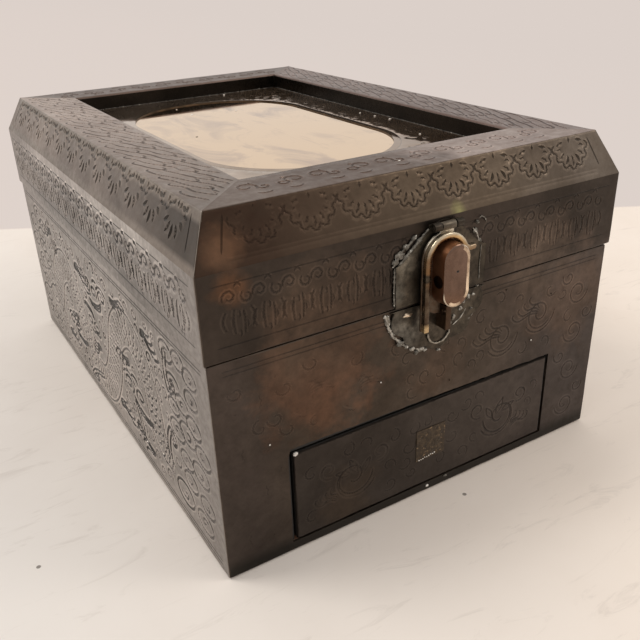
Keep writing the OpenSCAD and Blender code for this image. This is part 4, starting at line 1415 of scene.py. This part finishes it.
def make_felts():
    for node, body, under in (("compartment_felt", "case", "divider_board"),
                              ("drawer_felt", "drawer", "drawer_bottom")):
        lo, hi = box(node)
        step = 2.5
        xs = np.linspace(lo[0], hi[0], int((hi[0] - lo[0]) / step) + 1)
        ys = np.linspace(lo[1], hi[1], int((hi[1] - lo[1]) / step) + 1)
        grid = grid_of(xs, ys)
        edge = room_in(grid, lo[0], hi[0], lo[1], hi[1])
        lift = waviness(np.column_stack([grid, np.full(len(grid), lo[2])]), 18.0)
        top = hi[2] - 0.35 + 0.25 * lift * np.clip(edge / 8, 0, 1) - 0.25 * (edge < 0.1)
        made = slab(node + "_sheet", xs, ys, top, np.full(len(grid), lo[2]), lambda p: p,
                    red_felt)
        fitted(made, body, "felt", [node])


def make_hardware():
    for node, body, slot, finish, width, segments, rough in (
            ("hinge_leaf_case_left", "case", "hinge_brass", hinge_brass, 0.2, 2, 0),
            ("hinge_leaf_case_right", "case", "hinge_brass", hinge_brass, 0.2, 2, 0),
            ("hinge_leaf_lid_left", "lid", "hinge_brass", hinge_brass, 0.2, 2, 0),
            ("hinge_leaf_lid_right", "lid", "hinge_brass", hinge_brass, 0.2, 2, 0),
            ("hinge_pin_left", "case", "hinge_brass", hinge_brass, 0.2, 2, 0),
            ("hinge_pin_right", "case", "hinge_brass", hinge_brass, 0.2, 2, 0),
            ("hinge_nails_case", "case", "nail_brass", nail_brass, 0.25, 3, 0),
            ("hinge_nails_lid", "lid", "nail_brass", nail_brass, 0.25, 3, 0),
            ("recess_liner", "lid", "liner_brass", liner_dark, 0.15, 2, 0),
            ("mirror_glass", "lid", "mirror", glass, 0.2, 2, 0),
            ("latch_lid_plate", "lid", "latch_brass", plate_brass, 0.2, 2, 0.15),
            ("latch_case_plate", "case", "latch_brass", plate_brass, 0.2, 2, 0.15),
            ("latch_pin", "lid", "bright_brass", plate_brass, 0.15, 2, 0),
            ("latch_staple", "case", "bright_brass", hasp_dark, 0.35, 3, 0.15),
            ("hasp_plate", "hasp", "copper", hasp_brass, 0.2, 2, 0.1),
            ("hasp_strap", "hasp", "bright_brass", bright_brass, 0.5, 4, 0.15)):
        softened(node, body, slot, finish, width, segments, rough)
    make_tongue()
    make_wire_loop()


# Lumps of solder and glue, and specks of dust
def lump(name, body, slot, finish, centre, size, seed, detail=3):
    """An uneven blob of the half sizes given about a place on the surface that it sits on."""
    made = bmesh.new()
    bmesh.ops.create_icosphere(made, subdivisions=detail, radius=1.0)
    shift = Vector((seed * 3.7, seed * 1.3, 0))
    for vertex in made.verts:
        grow = 1 + 0.45 * noise.noise(vertex.co * 1.3 + shift) + 0.2 * noise.noise(
            vertex.co * 3.1 + shift)
        vertex.co = Vector((c * s * grow * MM for c, s in zip(vertex.co, size)))
        vertex.co += Vector(centre) * MM
    fitted(shown(name, baked(name, made, finish)), body, slot)


def ridge(name, body, slot, finish, path, size, out, seed):
    """An uneven bead that runs along a path on a surface that faces out."""
    mid, at = spaced(np.array(path, float), lambda length: max(4, int(length / 0.35)))
    out = np.array(out, float)
    side = np.cross(ahead_of(mid), out)
    count, sides = len(mid), 8
    points = []
    for k in range(count):
        swell = 0.55 + 0.9 * abs(noise.noise(Vector((at[k] * 0.8, seed, 0.5))))
        swell *= min(1.0, 0.3 + k / 3, 0.3 + (count - 1 - k) / 3)
        for j in range(sides):
            a = 2 * math.pi * j / sides
            reach = size * swell * (1 + 0.4 * noise.noise(Vector((at[k] * 2, j * 1.7, seed))))
            points.append(mid[k] + reach * (math.cos(a) * side[k] + 0.8 * math.sin(a) * out))
    faces = []
    for k in range(count - 1):
        for j in range(sides):
            a, b = k * sides + j, k * sides + (j + 1) % sides
            faces.append((a, a + sides, b + sides, b))
    faces.append(tuple(range(sides)))
    faces.append(tuple(reversed(range((count - 1) * sides, count * sides))))
    made = make_mesh(name, np.array(points), faces, [finish], SHARP)
    return fitted(made, body, slot)


def make_tongue():
    """The hasp's thick tongue, crowned, with a punched eye and a painted highlight on its right
    edge and foot.
    """
    lo, hi = box("hasp_tongue")
    r, crown, crown_w = (hi[0] - lo[0]) / 2, 0.45, 3.5
    cx, low, high = (lo[0] + hi[0]) / 2, lo[2] + r, hi[2] - r
    loop = np.vstack([arc(cx, high, r, 0, 180)[:-1], straight((cx - r, high), (cx - r, low), 0.5),
                      arc(cx, low, r, 180, 360)[:-1], straight((cx + r, low), (cx + r, high), 0.5)])
    spine = np.column_stack([np.full(len(loop), cx), np.clip(loop[:, 1], low, high)])
    folds = [spine + (loop - spine) * (1 - inset / r) for inset in (*EDGE_LINES, 1.6, 2.4, 3.4)]

    def clear(p):
        return r - np.hypot(p[:, 0] - cx, p[:, 1] - np.clip(p[:, 1], low, high))

    def crowned(outer, uv):
        outer[:, 1] += crown * np.clip(1 - clear(uv) / crown_w, 0, 1) ** 2
        return outer

    sheet = Sheet([loop], [closed(fold) for fold in folds], clear)
    eye = hi[2] - 8.3
    sheet.cut([arc(cx, eye, 0.25, 0, 360)], Stroke(0.9, 0.6))
    sheet.folds += [arc(cx, eye, reach, 0, 360) for reach in (0.4, 0.68)]

    # The right edge and the foot get a band with a painted highlight.
    def rubbed(p):
        right = (p[:, 0] > cx + 1.8) & (p[:, 1] > low - 2.4)
        foot = (p[:, 1] < lo[2] + 2.2) & (np.abs(p[:, 0] - cx + 0.6) < 2.2)
        return ((clear(p) < 1.6) & (right | foot)).astype(int)

    front = (np.array([0, -1.0, 0]), -lo[1])
    planes = [front]
    for a in np.radians(np.arange(0, 360, 15)):
        normal = np.array([math.cos(a), 0, math.sin(a)])
        planes.append((normal, r + cx * normal[0] + max(low * normal[2], high * normal[2])))

    bands = [(copper, pit, copper), (worn_copper_and_highlight, pit, copper)]
    made = folded("hasp_tongue_worn", sheet, on_plane(1, lo[1]), planes, [front], bands,
                  copper_edge, copper_side, rubbed, crowned, hi[1] - lo[1])
    fitted(made, "hasp", "copper", ["hasp_tongue"])


def make_wire_loop():
    """A thin wire that hangs in a half loop."""
    lo, hi = box("latch_wire_loop")
    wire_r = 0.35
    r = (hi[0] - lo[0]) / 2 - wire_r
    cx, y, z = (lo[0] + hi[0]) / 2, (lo[1] + hi[1]) / 2, lo[2] + r + wire_r
    path = [(cx + r * math.cos(a), y, z + r * math.sin(a))
            for a in np.radians(np.linspace(180, 360, 30))]
    made = ridge("latch_wire_thin", "case", "bright_brass", wire_silver, path, 0.42,
                 (0, -1, 0), 3)
    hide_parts("latch_wire_loop")


# Beads of solder round the latch: x, z, half width and half height
CASE_BEADS = (
    (-18.2, 70.6, 0.9, 1.8), (4.4, 63.6, 1.3, 0.7), (6.4, 65.3, 0.5, 1.1),
    (9.1, 67.5, 0.7, 0.7), (10.1, 69.8, 0.7, 0.9), (12.1, 70.8, 0.6, 0.8),
    (14.0, 71.0, 0.6, 0.5), (-14.1, 62.0, 1.2, 0.9), (-5.6, 57.4, 1.5, 0.9),
    (-3.9, 56.6, 0.9, 0.6), (-16.4, 65.7, 0.8, 1.2), (1.5, 54.9, 0.7, 0.4),
    (-9.4, 58.9, 0.8, 0.7), (13.5, 66.4, 0.4, 0.5), (-11.8, 60.2, 0.6, 0.6),
    (16.2, 73.0, 0.5, 0.6), (-7.2, 56.6, 0.6, 0.7), (-19.2, 72.0, 0.5, 0.7),
)
LID_BEADS = (
    (-14.8, 90.6, 1.6, 1.2), (-12.6, 92.6, 1.1, 0.9), (-16.4, 88.8, 1.1, 0.9),
    (-9.9, 94.6, 0.9, 0.7), (13.4, 92.0, 0.8, 1.0), (15.3, 88.4, 0.5, 1.0),
    (15.8, 84.2, 0.5, 0.6), (13.9, 94.8, 0.5, 0.6),
)
# The faces that the solder lies on
CASE_FRONT, LID_FRONT, PLATE_FRONT = -CASE_Y, -LID_Y, box("latch_case_plate")[0][1]
# Crusts of solder: name, body, y, half width, finish, and a path of x and z
CRUSTS = (
    ("left", "lid", LID_FRONT - 0.4, 0.36, solder_grey,
     [(-16.7, 74.8), (-16.9, 80.0), (-16.7, 87.2)]),
    ("shoulder", "lid", LID_FRONT - 0.3, 0.5, solder_grey,
     [(-17.4, 87.5), (-14.6, 91.4), (-11.4, 93.4), (-9.0, 95.6)]),
    ("bevel", "lid", LID_FRONT - 0.4, 0.6, solder_grey,
     [(-15.4, 87.5), (-11.6, 90.8), (-7.4, 94.3), (-4.6, 96.6)]),
    ("right", "lid", LID_FRONT - 0.9, 0.2, solder_grey,
     [(15.3, 76.0), (15.1, 82.0), (15.4, 87.4)]),
    ("hood", "lid", LID_FRONT - 0.7, 0.34, solder_bright,
     [(14.6, 88.6), (13.4, 91.6), (11.8, 93.4)]),
    ("curl", "lid", LID_FRONT - 0.2, 0.22, solder_grey,
     [(14.4, 95.6), (15.4, 96.3), (16.8, 95.5), (17.7, 93.9)]),
    ("low_left", "case", CASE_FRONT - 0.3, 0.6, solder_bright,
     [(-19.2, 72.6), (-18.2, 68.5), (-16.2, 64.6), (-12.6, 61.0), (-6.4, 57.6)]),
    ("low_right", "case", CASE_FRONT - 0.6, 0.26, solder_grey,
     [(14.6, 72.2), (16.2, 68.6), (14.4, 63.8), (10.4, 61.2), (2.4, 57.4)]),
    ("inner_right", "case", PLATE_FRONT, 0.3, solder_bright,
     [(11.4, 66.8), (9.4, 64.2), (6.2, 62.4)]),
)
# Specks on the case's front: x, z and radius
CASE_SPECKS = (
    (7.2, 41.7, 0.35), (43.2, 45.5, 0.3), (29.6, 68.0, 0.3), (-59.3, 42.9, 0.3),
    (22.0, 52.0, 0.25), (-20.5, 50.3, 0.25), (51.0, 61.0, 0.25),
)


def make_latch_solder():
    """Beads and crusts of solder round the latch's plates, and a curl of copper."""
    for k, (x, z, w, h) in enumerate(CASE_BEADS):
        y = PLATE_FRONT if abs(x) < 15 and z > 57.5 else CASE_FRONT
        lump(f"solder_bead_{k}", "case", "solder", solder_grey if k % 3 == 1 else solder_bright,
             (x, y, z), (w, 0.6, h), k)
    for k, (x, z, w, h) in enumerate(LID_BEADS):
        lump(f"lid_bead_{k}", "lid", "solder", solder_grey, (x, LID_FRONT, z), (w, 0.7, h), 30 + k)
    lump("copper_curl", "case", "copper", worn_copper_and_highlight, (-11.3, PLATE_FRONT, 70.9),
         (1.6, 0.5, 0.7), 51)
    for seed, (name, body, y, size, finish, path) in enumerate(CRUSTS):
        ridge("crust_" + name, body, "solder", finish, [(x, y, z) for x, z in path], size,
              (0, -1, 0), seed)


def make_front_specks():
    """Lone beads and specks on the front."""
    lump("drawer_corner_bead", "drawer", "solder", white_speck, (-51.2, CASE_FRONT + 0.1, 36.3),
         (0.8, 0.5, 0.6), 44)
    lump("strip_bead", "case", "solder", white_speck, (-0.9, CASE_FRONT, 2.3), (0.55, 0.4, 0.4),
         45)
    lump("strip_lump", "case", "solder", solder_grey, (7.1, CASE_FRONT, 3.2), (0.9, 0.4, 0.5),
         46, 2)
    for k, (x, z, r) in enumerate(CASE_SPECKS):
        lump(f"case_speck_{k}", "case", "solder", white_speck if k % 2 else scar,
             (x, CASE_FRONT, z), (r, 0.2, r), 80 + k, 2)


def make_recess_dust():
    """Glue along the foot of the recess walls, and specks of dust on the mirror and the rim."""
    z = box("mirror_mat")[1][2]
    x, y = OPEN_X - 0.2, box("recess_liner")[1][1] - 1.0
    walls = {"back": [(-x, y, z), (x, y, z)], "front": [(-x, -y, z), (x, -y, z)],
             "right": [(x, y, z), (x, -y, z)], "left": [(-x, y, z), (-x, -y, z)]}
    for seed, (name, path) in enumerate(walls.items()):
        ridge("recess_glue_" + name, "lid", "solder", dust_grey, path, 0.3, (0, 0, 1), 10 + seed)
    glass_z = box("mirror_glass")[1][2]
    specks = [
        # x, y, z, radius
        (-11.5, 44.2, glass_z, 0.6), (-12.1, 60.4, glass_z, 0.3), (7.3, 39.3, glass_z, 0.35),
        (47.3, -20.1, z, 0.6), (39.7, -49.0, z, 0.45), (11.4, -74.5, z, 0.5),
        (45.1, -2.0, z, 0.4), (46.2, -11.2, z, 0.5), (-57.0, 52.6, LID_Z1 - 0.27, 0.35),
        (-3.7, -93.8, LID_Z1 - 0.3, 0.45), (-44.0, 75.0, z, 0.4), (20.0, 79.0, z, 0.45),
    ]
    for k, (x, y, z, r) in enumerate(specks):
        lump(f"dust_speck_{k}", "lid", "solder", white_speck, (x, y, z), (r, r, 0.25), 90 + k, 2)
    lump("mirror_fleck", "lid", "solder", scar, (-27.0, 2.7, glass_z), (0.5, 0.4, 0.15), 99, 2)


def make_scar():
    """The rough square where the drawer's pull was soldered on."""
    lo, hi = box("solder_patch")
    us, vs = np.linspace(lo[0], hi[0], 40), np.linspace(lo[2], hi[2], 40)
    grid = grid_of(us, vs)
    edge = room_in(grid, lo[0], hi[0], lo[2], hi[2])
    flat = np.column_stack([grid, np.full(len(grid), 3.0)])
    ragged = np.clip(edge / 2.4 - 0.1 + 1.8 * waviness(flat, 2.6), 0, 1)
    bumps = 0.55 + 0.45 * waviness(flat, 0.8)
    high = (hi[1] - lo[1]) * ragged * bumps
    made = slab("solder_scar", us, vs, high, np.full(len(grid), -0.1),
                lambda p: np.stack([p[:, 0], hi[1] - p[:, 2], p[:, 1]], 1), scar)
    fitted(made, "drawer", "solder", ["solder_patch"])
    rng = random.Random(9)
    for k in range(9):
        x, z = lo[0] + 1.2 + 0.82 * k, lo[2] + 0.3 + 0.1 * k + rng.uniform(-0.15, 0.15)
        lump(f"scar_speck_{k}", "drawer", "solder", white_speck, (x, hi[1] - 0.1, z),
             (0.25, 0.2, 0.2), 60 + k, 2)


# Stage, in metres, with a place on the line where the table gives way to the wall, and the
# direction across that line
FLOOR_HALF = 6.0
WALL, WALL_RIGHT = (0.745, 0.652, 0.60), (0.71, 0.63, 0.585)
EDGE_AT, EDGE_DIRECTION = (0.1207, 0.1648), (0.5098, 0.8603)
# The camera's place and axes, fitted to the photo's straight edges
CAMERA_AT = Vector((-0.13573, -0.26797, 0.16917))
CAMERA_RIGHT = Vector((0.85155, -0.52326, -0.03250))
CAMERA_UP = Vector((0.25707, 0.36273, 0.89574))
CAMERA_FORWARD = Vector((0.45692, 0.77112, -0.44340))
FOCAL_PX, FRAME_PX, SENSOR = 750.54, 640, 36.0


def floor_finish():
    """A pale table top that glows like a wall beyond its far edge."""
    n = Nodes("floor")
    inputs = {0: n.place, 1: (*EDGE_DIRECTION, 0)}
    across = n.add("VectorMath", inputs, operation="DOT_PRODUCT").outputs["Value"]
    edge = EDGE_AT[0] * EDGE_DIRECTION[0] + EDGE_AT[1] * EDGE_DIRECTION[1]
    wall = n.band(across, edge - 0.001, edge + 0.002)
    smears = n.band(n.noise(9, 5, 0.6, warp=0.5), 0.4, 0.7)
    cool = n.mix(smears, (0.71, 0.68, 0.655), (0.67, 0.635, 0.61))
    warm = n.mix(smears, (0.83, 0.75, 0.68), (0.79, 0.705, 0.63))
    # The table turns warmer and brighter towards the right: painted warm light from that side.
    table = n.mix(n.axis(0, -150, 40), cool, warm)
    scuffs = n.noise(26, 7, 0.7, source=n.scaled(1.0, 4.0, 1.0, (0, 0, 0.5)), warp=1.5)
    table = n.mix(n.band(scuffs, 0.57, 0.7, 0.0, 0.26), table, (0.42, 0.37, 0.33))
    inputs = {"Vector": n.place, "Scale": 11}
    crumbs = n.add("TexVoronoi", inputs, voronoi_dimensions="2D").outputs["Distance"]
    table = n.mix(n.band(crumbs, 0.007, 0.009, 0.8, 0.0), table, (0.12, 0.1, 0.085))
    n.set(Base_Color=n.mix(wall, table, WALL), Roughness=0.85)

    glow = n.add("Emission", {"Color": n.mix(n.axis(0, -400, 900), WALL, WALL_RIGHT)})
    rays = n.add("LightPath").outputs
    seen = n.maths("ADD", rays["Is Camera Ray"], rays["Is Glossy Ray"])
    seen = n.maths("ADD", seen, rays["Is Transmission Ray"])
    both = n.add("MixShader", {0: n.maths("MULTIPLY", wall, seen), 1: n.shader.outputs["BSDF"],
                               2: glow.outputs["Emission"]})
    n.feed(n.end, both.outputs["Shader"])
    return n.made


def make_stage():
    """The table, and level light all round."""
    bpy.ops.mesh.primitive_plane_add(size=2 * FLOOR_HALF)
    floor = bpy.context.object
    floor.name = "floor"
    floor.data.materials.append(floor_finish())

    world = bpy.data.worlds.new("studio")
    bpy.context.scene.world = world
    world.use_nodes = True
    back = world.node_tree.nodes["Background"]
    back.inputs["Color"].default_value = (1.0, 0.955, 0.91, 1)
    back.inputs["Strength"].default_value = 0.86


def area_light(name, at, toward, size, power, colour):
    """A round lamp of the size given in metres, at a place and aimed at another."""
    data = bpy.data.lights.new(name, "AREA")
    data.shape = "DISK"
    data.size = size
    data.energy = power
    data.color = colour
    lamp = shown(name, data)
    lamp.location = at
    lamp.rotation_mode = "QUATERNION"
    lamp.rotation_quaternion = (Vector(toward) - Vector(at)).to_track_quat("-Z", "Y")


def make_lights_and_camera():
    area_light("key", (-0.55, 0.25, 0.95), (0, 0, 0.05), 0.4, 4.0, (1.0, 0.96, 0.9))
    area_light("fill", (0.8, -0.7, 0.9), (0, 0, 0.05), 0.5, 3.0, (1.0, 0.93, 0.85))
    data = bpy.data.cameras.new("camera")
    data.sensor_width = SENSOR
    data.lens = FOCAL_PX / FRAME_PX * SENSOR
    data.clip_start = 0.01
    camera = shown("camera", data)
    turn = Matrix((CAMERA_RIGHT, CAMERA_UP, -CAMERA_FORWARD)).transposed()
    camera.matrix_world = Matrix.Translation(CAMERA_AT) @ turn.to_4x4()
    bpy.context.scene.camera = camera
    bpy.context.scene.view_settings.view_transform = "Standard"


make_lid_skins()
make_case_skins()
make_drawer_skin()
make_mat()
make_boards()
colour_hidden_boards()
make_felts()
make_hardware()
make_latch_solder()
make_front_specks()
make_recess_dust()
make_scar()
make_stage()
make_lights_and_camera()
